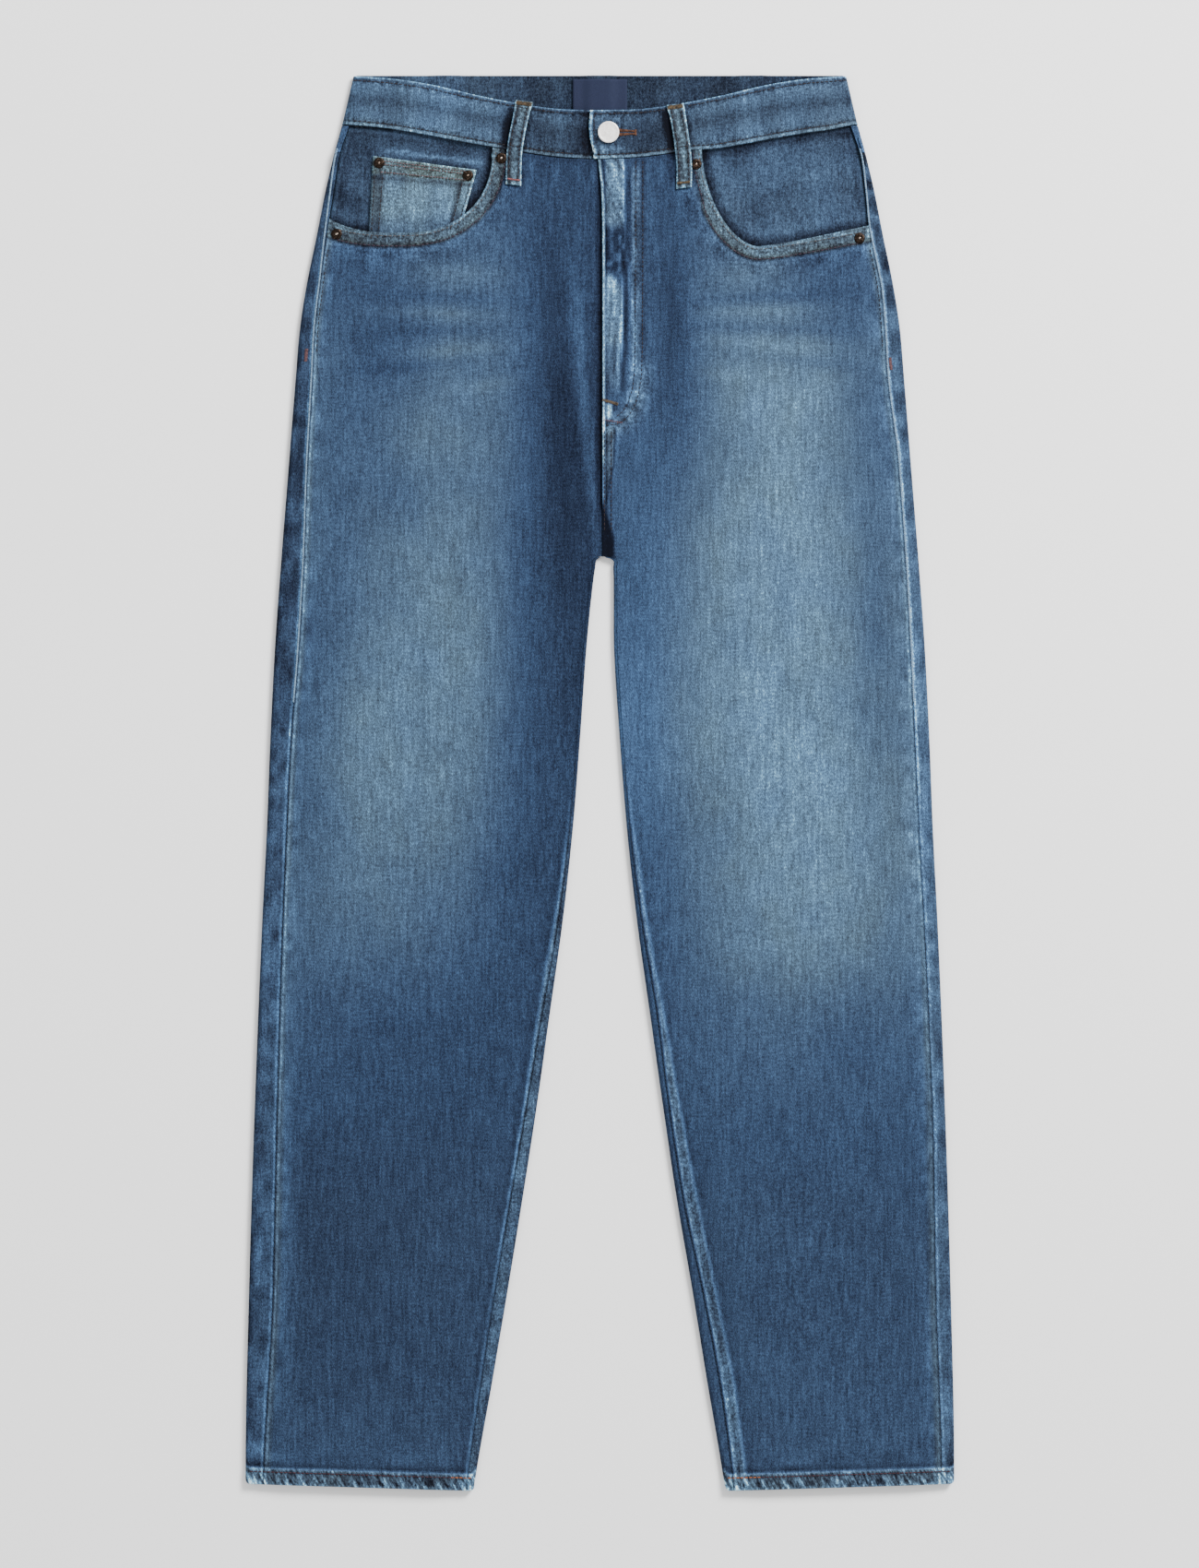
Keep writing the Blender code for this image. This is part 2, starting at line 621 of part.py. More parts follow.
def band_station(station, height):
    """A point on the waistband's outer face: height runs from its lower edge to its upper one."""
    part, value = station
    if part in ("front", "underlap", "overlap"):
        distance = abs(value)
        low, high = band_bottom(distance), band_top(distance)
        y = low + (high - low) * height
        lean = (outer_at(y) / outer_at(BACK_BAND_BOTTOM)) if distance > 60 else 1.0
        x = value * (1 + (lean - 1) * ease((distance - 60) / 80))
        side = LEFT if value > 0 else RIGHT
        z = upper_z(side, abs(x), y) + BAND_RISE - band_crease(distance, height)
        if part == "underlap":
            z -= (BAND_THICK + SEAM_GAP) * ease((value + 17) / 9)
        return (x, y, z)
    if part == "back":
        y = BACK_BAND_BOTTOM + (BACK_TOP_Y - BACK_BAND_BOTTOM) * height
        x = value * (1 + (outer_at(y) / outer_at(BACK_BAND_BOTTOM) - 1) * abs(value) / 190)
        return (x, y, back_lift(value, y))
    side, angle = part, value
    turn = (90 - angle) / 180
    low = band_bottom(190) * (1 - turn) + BACK_BAND_BOTTOM * turn
    high = band_top(190) * (1 - turn) + BACK_TOP_Y * turn
    y = low + (high - low) * height
    radius = FOLD_RADIUS + BAND_RISE / 2
    swing = math.radians(angle)
    x = outer_at(y) - radius + radius * math.cos(swing)
    return (side * x, y, radius + radius * math.sin(swing))


def waistband(name):
    """One band right round the waist. Its left end, with the buttonhole, lies over its right end."""
    underlap = [("underlap", x) for x in (UNDERLAP_X, 26, 14, 4, -4, -8, -12.5, -17)]
    front = (30, 44, 60, 80, 100, 120, 138, 154, 168, 180)
    right_front = [("front", -x) for x in front]
    right_fold = [(RIGHT, angle) for angle in FOLD_ANGLES]
    half_back = (178, 156, 134, 126, 110, 102, 80, 50, 30, 16, 8)
    back = [("back", -x) for x in half_back] + [("back", x) for x in half_back[::-1]]
    left_fold = [(LEFT, angle) for angle in FOLD_ANGLES[::-1]]
    left_front = [("front", x) for x in front[::-1]]
    overlap = [("overlap", x) for x in (20, 10, 2, BAND_END_X)]
    stations = underlap + right_front + right_fold + back + left_fold + left_front + overlap
    heights = (0.0, 0.1, 0.32, 0.52, 0.72, 0.9, 1.0)
    grid = [[band_station(station, height) for height in heights] for station in stations]
    band = cloth_wall(name, grid, BAND_THICK, DENIM_BLUE)
    cut_buttonhole(band)
    return band


def prism(name, outline, low, high, colour, roughness=0.9, metallic=0.0):
    """An upright solid on an outline that runs anticlockwise, seen from above."""
    count = len(outline)
    points = [(x * MM, y * MM, low * MM) for x, y in outline]
    points += [(x * MM, y * MM, high * MM) for x, y in outline]
    faces = [tuple(range(count))[::-1], tuple(range(count, 2 * count))]
    faces += [(k, (k + 1) % count, count + (k + 1) % count, count + k) for k in range(count)]
    return add_object(name, points, faces, colour, roughness, metallic)


def band_top_z(x):
    y = (band_top(abs(x)) + band_bottom(abs(x))) / 2
    return upper_z(LEFT, abs(x), y) + BAND_RISE


def cut_buttonhole(band):
    """A keyhole through the upper end of the waistband: a round eye and a slot beside it."""
    eye, slot = SHANK_RADIUS + 0.6, 0.9
    x0, y0 = BUTTON_AT
    start = math.asin(slot / eye)
    steps = 14
    outline = [(BUTTONHOLE_END_X, y0 - slot), (BUTTONHOLE_END_X, y0 + slot)]
    for k in range(steps + 1):
        angle = start + (2 * math.pi - 2 * start) * k / steps
        outline.append((x0 + eye * math.cos(angle), y0 + eye * math.sin(angle)))
    top = band_top_z(x0)
    cutter = prism("buttonhole_cutter", outline, top - BAND_THICK - 0.22, top + 3, LABEL_NAVY)
    cutter.hide_render = True
    cutter.display_type = "WIRE"
    cut = band.modifiers.new("buttonhole", "BOOLEAN")
    cut.object = cutter
    cut.operation = "DIFFERENCE"


def turned(name, profile, at, colour, roughness, metallic, steps=24):
    """A solid of revolution about an upright axis, from (radius, height) rows, bottom to top."""
    x0, y0, z0 = at
    points = [(x0, y0, z0 + profile[0][1])]
    for radius, height in profile:
        for k in range(steps):
            angle = 2 * math.pi * k / steps
            points.append((x0 + radius * math.cos(angle), y0 + radius * math.sin(angle), z0 + height))
    points.append((x0, y0, z0 + profile[-1][1]))
    top = len(points) - 1
    faces = []
    for k in range(steps):
        after = (k + 1) % steps
        faces.append((0, 1 + after, 1 + k))
        for ring in range(len(profile) - 1):
            low, high = 1 + ring * steps, 1 + (ring + 1) * steps
            faces.append((low + k, low + after, high + after, high + k))
        last = 1 + (len(profile) - 1) * steps
        faces.append((last + k, last + after, top))
    scaled = [tuple(value * MM for value in point) for point in points]
    solid = add_object(name, scaled, faces, colour, roughness, metallic)
    solid.data.shade_smooth()
    solid.data.set_sharp_from_angle(angle=math.radians(35))
    return solid


def button(name):
    """A shank button: its foot stands on the underlap and its cap lies over the buttonhole."""
    x, y = BUTTON_AT
    top = band_top_z(x)
    foot = -BAND_THICK + 0.1
    cap = 0.9
    profile = [
        (SHANK_RADIUS, foot),
        (SHANK_RADIUS, cap),
        (BUTTON_RADIUS - 0.8, cap),
        (BUTTON_RADIUS, cap + 0.6),
        (BUTTON_RADIUS, cap + 1.3),
        (BUTTON_RADIUS - 0.7, cap + 1.9),
        (BUTTON_RADIUS - 1.9, cap + 1.7),
        (2.0, cap + 1.7),
    ]
    return turned(name, profile, (x, y, top), PALE_NICKEL, 0.35, 1.0, 32)


def rivet(name, at, height):
    """A domed rivet head with a small burr in the middle."""
    profile = [
        (RIVET_RADIUS - 0.4, 0.0),
        (RIVET_RADIUS, 0.35),
        (RIVET_RADIUS - 1.0, 0.85),
        (1.5, 0.95),
        (1.1, 1.35),
        (0.5, 1.45),
    ]
    return turned(name, profile, (*at, height), ANTIQUE_COPPER, 0.45, 1.0, 18)


def highest_under(side, at, reach, surface):
    """The highest point of a surface round a place, so that flat trim there stays clear of it."""
    angles = [math.radians(45 * k) for k in range(8)]
    spots = [at] + [(at[0] + reach * math.cos(a), at[1] + reach * math.sin(a)) for a in angles]
    return max(surface(side, abs(x), y) for x, y in spots)


def front_rivets():
    for name, at in FRONT_RIVETS.items():
        side = LEFT if at[0] > 0 else RIGHT
        rivet(name, at, highest_under(side, at, RIVET_RADIUS, upper_z) + SEAM_GAP)
    for name, at in COIN_RIVETS.items():
        cloth = highest_under(RIGHT, at, RIVET_RADIUS, facing_z) + THIN_DENIM + SEAM_GAP
        rivet(name, at, cloth + SEAM_GAP)


def front_loop(name, top, bottom):
    """A belt loop: a folded strip tacked over the waistband's top edge and onto the front."""
    side = LEFT if top[0] > 0 else RIGHT
    top, bottom = np.array(top), np.array(bottom)
    length = np.linalg.norm(top - bottom)
    along = (bottom - top) / length
    across = np.array([-along[1], along[0]])
    rows = []
    for share in (0.0, 0.06, 0.2, 0.36, 0.5, 0.6, 0.68, 0.76, 0.9, 1.0):
        middle = top + along * length * share
        row = []
        for offset in (-0.5, -0.42, 0.0, 0.42, 0.5):
            x, y = middle + across * LOOP_WIDTH * offset
            edge = band_bottom(abs(x))
            on_band = ease((y - edge + 9) / 8)
            cloth = upper_z(side, abs(x), y) + BAND_RISE * on_band
            stand_off = LOOP_STAND_OFF * math.sin(math.pi * min(share / 0.8, 1.0)) ** 2
            rounding = LOOP_EDGE_ROUNDING if abs(offset) == 0.5 else 0.0
            row.append((x, y, cloth + SEAM_GAP + LOOP_THICK + stand_off - rounding))
        rows.append(row)
    return cloth_wall(name, rows, LOOP_THICK, WORN_BLUE, flip=True)


def back_loop(name, x):
    """A belt loop under the back of the waistband, pressed flat by the weight on it."""
    half = LOOP_WIDTH / 2
    low, high = BACK_LOOP_BOTTOM, BACK_TOP_Y - 1.0
    outline = [(x - half, low), (x + half, low), (x + half, high), (x - half, high)]
    return prism(name, outline, 0.0, LOOP_THICK, WORN_BLUE)


def back_pocket(side, name):
    """A patch pocket with a pointed foot, flat on the surface that the jeans lie on."""
    p = BACK_POCKET
    middle = (p.inner_x + p.outer_x) / 2
    taper = 7.0
    outline = [
        (p.inner_x, p.inner_top),
        (p.inner_x + taper, p.corner_y),
        (middle, p.tip_y),
        (p.outer_x - taper, p.corner_y),
        (p.outer_x, p.outer_top),
    ]
    outline = [(side * x, y) for x, y in outline]
    if side == RIGHT:
        outline.reverse()
    return prism(name, outline, 0.0, THIN_DENIM, WORN_BLUE)


def waist_label(name):
    """A plain woven label on the inside of the back waistband, above the front's dipped edge."""
    half_width, low, high = 20.5, 505.4, 530.6
    rows = []
    for y in (high, high - 8, high - 17, low):
        row = []
        for x in (-half_width, -16, -8, 0, 8, 16, half_width):
            row.append((x, y, back_lift(x, y) + BAND_THICK + SEAM_GAP + THIN_DENIM))
        rows.append(row)
    return cloth_wall(name, rows, THIN_DENIM, LABEL_NAVY, flip=True)


def fly_layer(name, x_range, bottom_y, drop, colour):
    """A strip behind the fly, which follows the front at a depth under its outer face."""
    rows = []
    steps = 8
    for k in range(steps + 1):
        y = FLY_LAYER_TOP + (bottom_y - FLY_LAYER_TOP) * k / steps
        row = []
        for share in (0.0, 0.33, 0.66, 1.0):
            x = x_range[0] + (x_range[1] - x_range[0]) * share
            row.append((x, y, upper_z(LEFT, abs(x), y) - drop))
        rows.append(row)
    return cloth_wall(name, rows, FLY_LAYER_THICK, colour, flip=True)


def main():
    for obj in list(bpy.data.objects):
        bpy.data.objects.remove(obj)
    front_panel(RIGHT, "front_panel_right")
    front_panel(LEFT, "front_panel_left")
    back_panel(RIGHT, "back_panel_right")
    back_panel(LEFT, "back_panel_left")
    yoke(RIGHT, "yoke_right")
    yoke(LEFT, "yoke_left")
    waistband("waistband")
    pocket_facing(RIGHT, "pocket_facing_right")
    pocket_facing(LEFT, "pocket_facing_left")
    coin_pocket("coin_pocket")
    back_pocket(RIGHT, "back_pocket_right")
    back_pocket(LEFT, "back_pocket_left")
    for name, (top, bottom) in FRONT_LOOPS.items():
        front_loop(name, top, bottom)
    for name, x in zip(("right", "centre", "left"), BACK_LOOPS_X):
        back_loop(f"belt_loop_back_{name}", x)
    waist_label("waist_label")
    fly_layer("zip_tape", ZIP_X, ZIP_BOTTOM, ZIP_DEPTH, ZIP_BRASS)
    fly_layer("fly_shield", SHIELD_X, SHIELD_BOTTOM, SHIELD_DEPTH, DENIM_BLUE)
    button("button")
    front_rivets()


main()
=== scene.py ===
# %% [markdown]
# # Mom jeans, laid flat
# This lesson dresses a plain set of solids as a pair of stonewashed denim jeans that lie on
# their back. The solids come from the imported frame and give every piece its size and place.
# Here each cloth piece is made again as a finer sheet, with its folds, hems and seams, and then
# the thread, the metal and the wash are added. Lengths are in millimetres in the tables, and
# MM turns them into Blender's metres. X runs towards the wearer's left leg, Y up to the waist.

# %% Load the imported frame
import math
from collections import namedtuple

import bpy
import numpy as np
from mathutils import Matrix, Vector
from mathutils.bvhtree import BVHTree


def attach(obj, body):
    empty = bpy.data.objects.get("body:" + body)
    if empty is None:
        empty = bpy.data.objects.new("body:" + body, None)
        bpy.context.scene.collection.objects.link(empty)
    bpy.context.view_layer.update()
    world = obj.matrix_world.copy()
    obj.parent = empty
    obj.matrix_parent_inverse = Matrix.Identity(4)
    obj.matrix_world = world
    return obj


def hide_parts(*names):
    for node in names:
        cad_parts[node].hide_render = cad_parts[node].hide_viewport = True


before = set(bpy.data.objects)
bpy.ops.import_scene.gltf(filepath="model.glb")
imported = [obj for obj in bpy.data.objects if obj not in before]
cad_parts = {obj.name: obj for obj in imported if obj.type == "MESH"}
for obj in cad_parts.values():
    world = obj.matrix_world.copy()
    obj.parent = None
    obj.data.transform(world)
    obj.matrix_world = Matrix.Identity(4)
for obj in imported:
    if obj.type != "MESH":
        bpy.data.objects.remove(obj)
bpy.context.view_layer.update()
MM = 0.001
RIGHT, LEFT = -1, 1
print("solids:", len(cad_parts))

# %% [markdown]
# A garment's outline changes slowly from waist to hem, so a short table of sections describes
# it, with a smooth curve through each column. The same curves place the fold at each side, the
# seams beside it, the waistband and the pocket mouths, so neighbouring pieces always agree.

# %% Smooth curves through tables
def column(rows, name):
    """A smooth curve through one named column, read at an array of values of the first one."""
    ordered = sorted(rows, key=lambda row: row[0])
    x = np.array([row[0] for row in ordered], float)
    y = np.array([getattr(row, name) for row in ordered], float)
    step = np.diff(y) / np.diff(x)
    slope = np.concatenate([step[:1], (step[1:] + step[:-1]) / 2, step[-1:]])
    flat = np.concatenate([[False], step[1:] * step[:-1] <= 0, [False]])
    slope[flat] = 0.0

    def read(at):
        at = np.clip(np.asarray(at, float), x[0], x[-1])
        i = np.clip(np.searchsorted(x, at, side="right") - 1, 0, len(x) - 2)
        width = x[i + 1] - x[i]
        t = (at - x[i]) / width
        blend = t * t * (3 - 2 * t)
        lead = t * (1 - t) ** 2 * width * slope[i]
        tail = t * t * (t - 1) * width * slope[i + 1]
        return y[i] + blend * (y[i + 1] - y[i]) + lead + tail

    return read


def ease(value):
    """Rises smoothly from 0 to 1 as the value does."""
    t = np.clip(value, 0.0, 1.0)
    return t * t * (3 - 2 * t)


def bump_at(value, centre, width):
    """A soft bell of height 1 at the centre."""
    return np.exp(-(((value - centre) / width) ** 2))


def bumps(value, *rows):
    """The sum of soft bells, each given by its height, its centre and its width."""
    return sum(height * bump_at(value, centre, width) for height, centre, width in rows)


# %% Section tables
Section = namedtuple("Section", "y outer seam_right seam_left")
SECTIONS = [Section(*row) for row in (
    (533.4, 185.6, 6.5, 6.5), (495.5, 194.6, 5.6, 5.6), (475.0, 200.2, 4.4, 4.4),
    (447.0, 206.8, 6.3, 7.0), (412.0, 213.7, 7.6, 9.8), (378.0, 220.7, 10.0, 9.6),
    (343.0, 226.2, 11.4, 11.6), (308.0, 229.2, 12.6, 12.6), (240.0, 234.6, 14.2, 9.6),
    (171.0, 240.1, 17.2, 10.0), (103.0, 245.0, 18.2, 11.1), (34.0, 248.5, 16.2, 11.4),
    (-36.0, 251.2, 15.4, 10.8), (-105.0, 254.7, 16.0, 10.4), (-244.0, 260.3, 17.4, 9.8),
    (-383.0, 264.6, 18.6, 11.6), (-522.0, 267.2, 14.0, 9.8), (-533.4, 267.2, 13.6, 9.6),
)]
Inside = namedtuple("Inside", "y inner_right inner_left inseam_right inseam_left")
INSIDES = [Inside(*row) for row in (
    (171.0, -1.2, 1.6, 2.9, 2.6), (168.5, 2.2, 9.2, 2.9, 2.6), (163.0, 3.4, 10.0, 2.4, 2.4),
    (138.0, 6.6, 10.4, 2.4, 2.4), (103.0, 10.0, 10.6, 2.4, 2.4), (34.0, 14.9, 14.9, 2.4, 2.4),
    (-36.0, 20.5, 20.5, 2.4, 2.4), (-105.0, 28.1, 28.1, 3.2, 3.6), (-175.0, 37.9, 37.9, 5.6, 5.4),
    (-244.0, 47.6, 47.6, 7.6, 4.6), (-314.0, 58.4, 58.0, 9.0, 5.0), (-383.0, 69.6, 69.8, 9.6, 7.8),
    (-453.0, 81.5, 81.2, 8.3, 9.4), (-522.0, 93.5, 92.8, 5.8, 7.2), (-533.4, 94.9, 94.2, 5.4, 7.0),
)]
BandEdge = namedtuple("BandEdge", "x top bottom")
BAND_EDGES = [BandEdge(*row) for row in (
    (0.0, 506.4, 469.6), (30.0, 507.4, 471.4), (60.0, 511.6, 475.6), (95.0, 518.2, 481.6),
    (130.0, 525.6, 488.2), (160.0, 530.0, 493.0), (190.0, 532.4, 496.2),
)]
Mouth = namedtuple("Mouth", "waist_x low_x low_y side_y roundness rise_power")
MOUTHS = {
    RIGHT: Mouth(80.8, 150.0, 414.4, 422.3, 2.3, 3.0),
    LEFT: Mouth(76.8, 120.0, 404.2, 418.9, 1.8, 1.2),
}
SEAM_GAP, DENIM, THIN_DENIM, BAND_THICK, LOOP_THICK = 0.3, 1.1, 1.0, 2.0, 1.2
FOLD_RADIUS, LEG_HEIGHT, BAND_RISE = 2.2, 5.9, 0.6
HEM_Y, HEM_DEPTH, HEM_RISE, HEM_ROUND = -533.4, 12.0, 0.031, 3.6
HEM_INNER_X, HEM_OUTER_X, HEM_RISE_FROM_Y = 94.5, 267.2, -380.0
CROTCH_Y, HIP_ROW_Y = 171.0, 378.0
BACK_TOP_Y, BACK_BAND_BOTTOM = 533.4, 495.6

outer_at = column(SECTIONS, "outer")
seam_inset = {RIGHT: column(SECTIONS, "seam_right"), LEFT: column(SECTIONS, "seam_left")}
inner_at = {RIGHT: column(INSIDES, "inner_right"), LEFT: column(INSIDES, "inner_left")}
inseam_inset = {RIGHT: column(INSIDES, "inseam_right"), LEFT: column(INSIDES, "inseam_left")}
band_top = column(BAND_EDGES, "top")
band_bottom = column(BAND_EDGES, "bottom")
print("half width at the hem, mm:", round(float(outer_at(HEM_Y)), 1))


# %% Pocket mouths and side seams
def seam_x(side, y):
    """Distance of the side seam from the centre line."""
    return outer_at(y) - seam_inset[side](y)


def mouth_y(mouth, x):
    """Height of a pocket mouth's edge at distances from the centre line."""
    x = np.asarray(x, float)
    start = float(band_bottom(mouth.waist_x)) - SEAM_GAP
    across = np.clip((mouth.low_x - x) / (mouth.low_x - mouth.waist_x), 0, 1)
    fall = (1 - across**mouth.roundness) ** (1 / mouth.roundness)
    curved = start - (start - mouth.low_y) * fall
    side_x = float(seam_x(RIGHT, mouth.side_y))
    along = np.clip((x - mouth.low_x) / (side_x - mouth.low_x), 0, 1.2)
    level = mouth.low_y + (mouth.side_y - mouth.low_y) * along**mouth.rise_power
    return np.where(x < mouth.low_x, curved, level)


# %% [markdown]
# The jeans lie flat, so the top of each leg is one broad low surface that rounds down into a
# fold at each side. Denim is stiff: its folds are few, long and soft, deepest beside the fly
# and where the thighs meet. Each one below is a row in a table, with its ends, width and depth,
# because creases placed one by one look like this garment and noise alone doesn't.

# %% Creases of the fronts
Crease = namedtuple("Crease", "x0 y0 x1 y1 width depth")
CREASES = [Crease(*row) for row in (
    # Folds beside the fly
    (-30, 430, -34, 250, 13, -0.55), (-14, 395, -20, 230, 7, 0.35), (56, 440, 50, 300, 12, -0.50),
    (40, 400, 44, 280, 6, 0.30), (-46, 300, -20, 178, 14, -0.35), (44, 270, 16, 178, 12, -0.40),
    # Whiskers that fan out from the crotch
    (-60, 345, -150, 368, 8, -0.28), (-52, 322, -160, 330, 9, 0.24),
    (-48, 300, -140, 296, 8, -0.22), (64, 352, 150, 372, 8, -0.26), (60, 330, 170, 338, 9, 0.24),
    (58, 306, 150, 300, 9, -0.22), (-20, 205, -90, 236, 9, -0.25), (18, 205, 86, 240, 9, -0.25),
    (-24, 160, -100, 150, 12, 0.22), (26, 158, 96, 140, 12, 0.22),
    # Long soft folds down the legs
    (-70, 250, -60, 20, 16, -0.25), (-175, 330, -205, 60, 18, 0.24),
    (-120, 60, -150, -170, 26, 0.20), (84, 240, 70, 10, 16, -0.22), (196, 350, 206, 60, 16, -0.25),
    (150, 70, 166, -160, 26, 0.20), (-90, -60, -150, -90, 14, -0.22),
    (-70, -110, -180, -150, 16, 0.22), (70, -40, 150, -86, 14, -0.22),
    (80, -100, 200, -140, 16, 0.20), (-130, -250, -190, -500, 24, -0.22),
    (140, -250, 190, -500, 24, 0.22), (-230, -200, -236, -480, 12, 0.22),
    (226, -200, 236, -480, 12, -0.20),
    # Small folds under the pockets and at the side seams
    (-110, 404, -190, 408, 6, -0.22), (-206, 360, -150, 352, 7, 0.20),
    (120, 394, 180, 402, 6, -0.22), (206, 350, 160, 344, 7, 0.20),
)]


def creases(x, y):
    """How far the creases raise the cloth at X and Y."""
    total = np.zeros(np.broadcast(x, y).shape)
    for c in CREASES:
        length = math.hypot(c.x1 - c.x0, c.y1 - c.y0)
        ux, uy = (c.x1 - c.x0) / length, (c.y1 - c.y0) / length
        along = (x - c.x0) * ux + (y - c.y0) * uy
        across = (y - c.y0) * ux - (x - c.x0) * uy
        across = across + 0.04 * length * np.sin(math.pi * along / length) ** 2
        ends = ease(along / (0.4 * length) + 0.5) * ease(3.0 - along / (0.4 * length))
        total += c.depth * ends * np.exp(-((across / c.width) ** 2))
    return total


def wander(s, period, seed):
    """An uneven wave along a seam, between about -1 and 1."""
    turn = 2 * math.pi * s / period
    return 0.6 * np.sin(turn + 1.4 * np.sin(turn / 3.7 + seed)) + 0.4 * np.sin(turn * 1.63 + seed * 2.1)


def patchy(x, y, wide, tall, seed):
    """Uneven patches between -1 and 1, as wide and as tall as given."""
    u, v = np.asarray(x, float) / wide, np.asarray(y, float) / tall
    column_at, row_at = np.floor(u), np.floor(v)
    across, along = ease(u - column_at), ease(v - row_at)

    def corner(right, up):
        spread = np.sin((column_at + right) * 12.9898 + (row_at + up) * 78.233 + seed * 37.7) * 43758.5
        return 2 * (spread - np.floor(spread)) - 1

    low = corner(0, 0) * (1 - across) + corner(1, 0) * across
    high = corner(0, 1) * (1 - across) + corner(1, 1) * across
    return low * (1 - along) + high * along


print("creases:", len(CREASES))

# %% Height of the upper cloth
VALLEY_X, LEG_BLEND = 3.0, 44.0


def upper_z(side, x, y, folded=True):
    """Height of the upper cloth's outer face, x being the distance from the centre line."""
    x, y = np.broadcast_arrays(np.asarray(x, float), np.asarray(y, float))
    from_fold = outer_at(y) - FOLD_RADIUS - x
    leg_side = x - inner_at[side](y) - FOLD_RADIUS
    hip_side = np.hypot(x, 0.6 * (y - CROTCH_Y)) + 4.0
    # Below the crotch the relief of the hip passes gradually into that of the leg
    kept = ease((y - CROTCH_Y + LEG_BLEND) / LEG_BLEND) * ease(leg_side / 12)
    leg_side = leg_side + (hip_side - leg_side) * kept
    from_fold = np.minimum(from_fold, np.where(y < CROTCH_Y, leg_side, hip_side))
    crown = ease(from_fold / 34.0)
    height = 2 * FOLD_RADIUS + (LEG_HEIGHT - 2 * FOLD_RADIUS) * crown
    pocket_zone = ease((y - 330) / 70) * ease((x - 40) / 50) * crown
    button_zone = np.exp(-((x / 34) ** 2) - ((y - 497) / 52) ** 2)
    fly_zone = np.exp(-((x / 38) ** 2)) * ease((y - 250) / 60)
    height = height + 0.75 * pocket_zone + 2.3 * button_zone + 0.55 * fly_zone
    if folded:
        height = height + crown * creases(side * x, y)
    near = 1 - ease((y - CROTCH_Y) / 90)
    dip = near * bump_at(side * x, VALLEY_X, 5.0 + 6.0 * near)
    dip = np.clip(dip, 0, 1) * ease((y - CROTCH_Y + LEG_BLEND) / LEG_BLEND)
    return height - (height - 3.8) * dip


# %% Height of the back, over its pockets and loops
BACK_LOOPS_X = (-118.0, 0.0, 118.0)
BACK_LOOP_BOTTOM = 478.0
BACK_POCKET_X, BACK_POCKET_Y = (36, 166), (278, 430)


def outside(value, low, high):
    """How far a value is outside a range, and 0 inside it."""
    return np.maximum(np.maximum(low - value, value - high), 0)


def back_lift(x, y):
    """How far the back is raised over the pockets and belt loops that it lies on."""
    x, y = np.broadcast_arrays(np.asarray(x, float), np.asarray(y, float))
    distance = np.abs(x)
    across = outside(distance, *BACK_POCKET_X)
    along = outside(y, *BACK_POCKET_Y)
    over_pocket = 1 - ease((np.hypot(across, along) - 3) / 12)
    beside = np.min([np.abs(x - at) for at in BACK_LOOPS_X], axis=0)
    over_loop = (1 - ease((beside - 6.5) / 8)) * ease((y - BACK_LOOP_BOTTOM + 18) / 14)
    crotch = np.exp(-((distance / 8) ** 2) - ((y - CROTCH_Y) / 10) ** 2)
    lifts = [(THIN_DENIM + 0.2) * over_pocket, (LOOP_THICK + 0.2) * over_loop, 0.7 * crotch]
    return np.max(lifts, axis=0)


# %% [markdown]
# A fold in cloth isn't a crease line but a narrow half round. Points are placed by their length
# along the cloth from the middle of that round: up over it onto the front, or down under it
# onto the back. The back pieces use both, because they wrap round each side of the leg.

# %% Points round a fold
QUARTER = math.pi / 2 * FOLD_RADIUS


def fold_arc(inset):
    """Length along the cloth from a fold's outermost point to a point at this inset."""
    inset = np.asarray(inset, float)
    rounded = FOLD_RADIUS * np.arccos(np.clip(1 - inset / FOLD_RADIUS, -1, 1))
    return np.where(inset >= FOLD_RADIUS, QUARTER + inset - FOLD_RADIUS, rounded)


def wrapped(arc):
    """(inset, height, on the round) of points at lengths along the cloth from a fold."""
    arc = np.asarray(arc, float)
    angle = np.clip(arc / FOLD_RADIUS, -math.pi / 2, math.pi / 2)
    on_round = np.abs(arc) < QUARTER
    inset = np.where(on_round, FOLD_RADIUS * (1 - np.cos(angle)), FOLD_RADIUS + np.abs(arc) - QUARTER)
    return inset, FOLD_RADIUS * (1 + np.sin(angle)), on_round


def fold_rows(side, edge, inward, arcs, y):
    """X, Y and Z of a grid of points round a fold: edge is the fold's distance from the centre
    line for each row, and inward is -1 at an outer fold and 1 at an inner one."""
    inset, height, on_round = wrapped(arcs)
    x = edge + inward * inset
    y_hem = hem_shifted(y, x)
    top = upper_z(side, x, y_hem)
    bottom = back_lift(side * x, y_hem)
    z = np.where(on_round, height, np.where(np.asarray(arcs) > 0, top, bottom))
    return x, y_hem, z


def hem_shifted(y, x):
    """The hem rises a little towards the outer fold, as do the rows above it, and its two
    corners are rounded."""
    near_hem = ease((HEM_RISE_FROM_Y - y) / (HEM_RISE_FROM_Y - HEM_Y))
    end = np.minimum(HEM_OUTER_X - x, x - HEM_INNER_X)
    corner = np.clip(1 - end / HEM_ROUND, 0, 1)
    rounding = HEM_ROUND * (1 - np.sqrt(1 - corner**2)) * ease((HEM_Y + HEM_DEPTH - y) / HEM_DEPTH)
    return y + HEM_RISE * (x - 94) * near_hem + rounding


# %% [markdown]
# Sewing gathers cloth, so each seam carries small ripples, a raised ridge where its layers are
# stacked, and a groove under each row of thread. These are worked out from a point's distance
# to the seam's line and its place along it, so that one rule serves every seam.

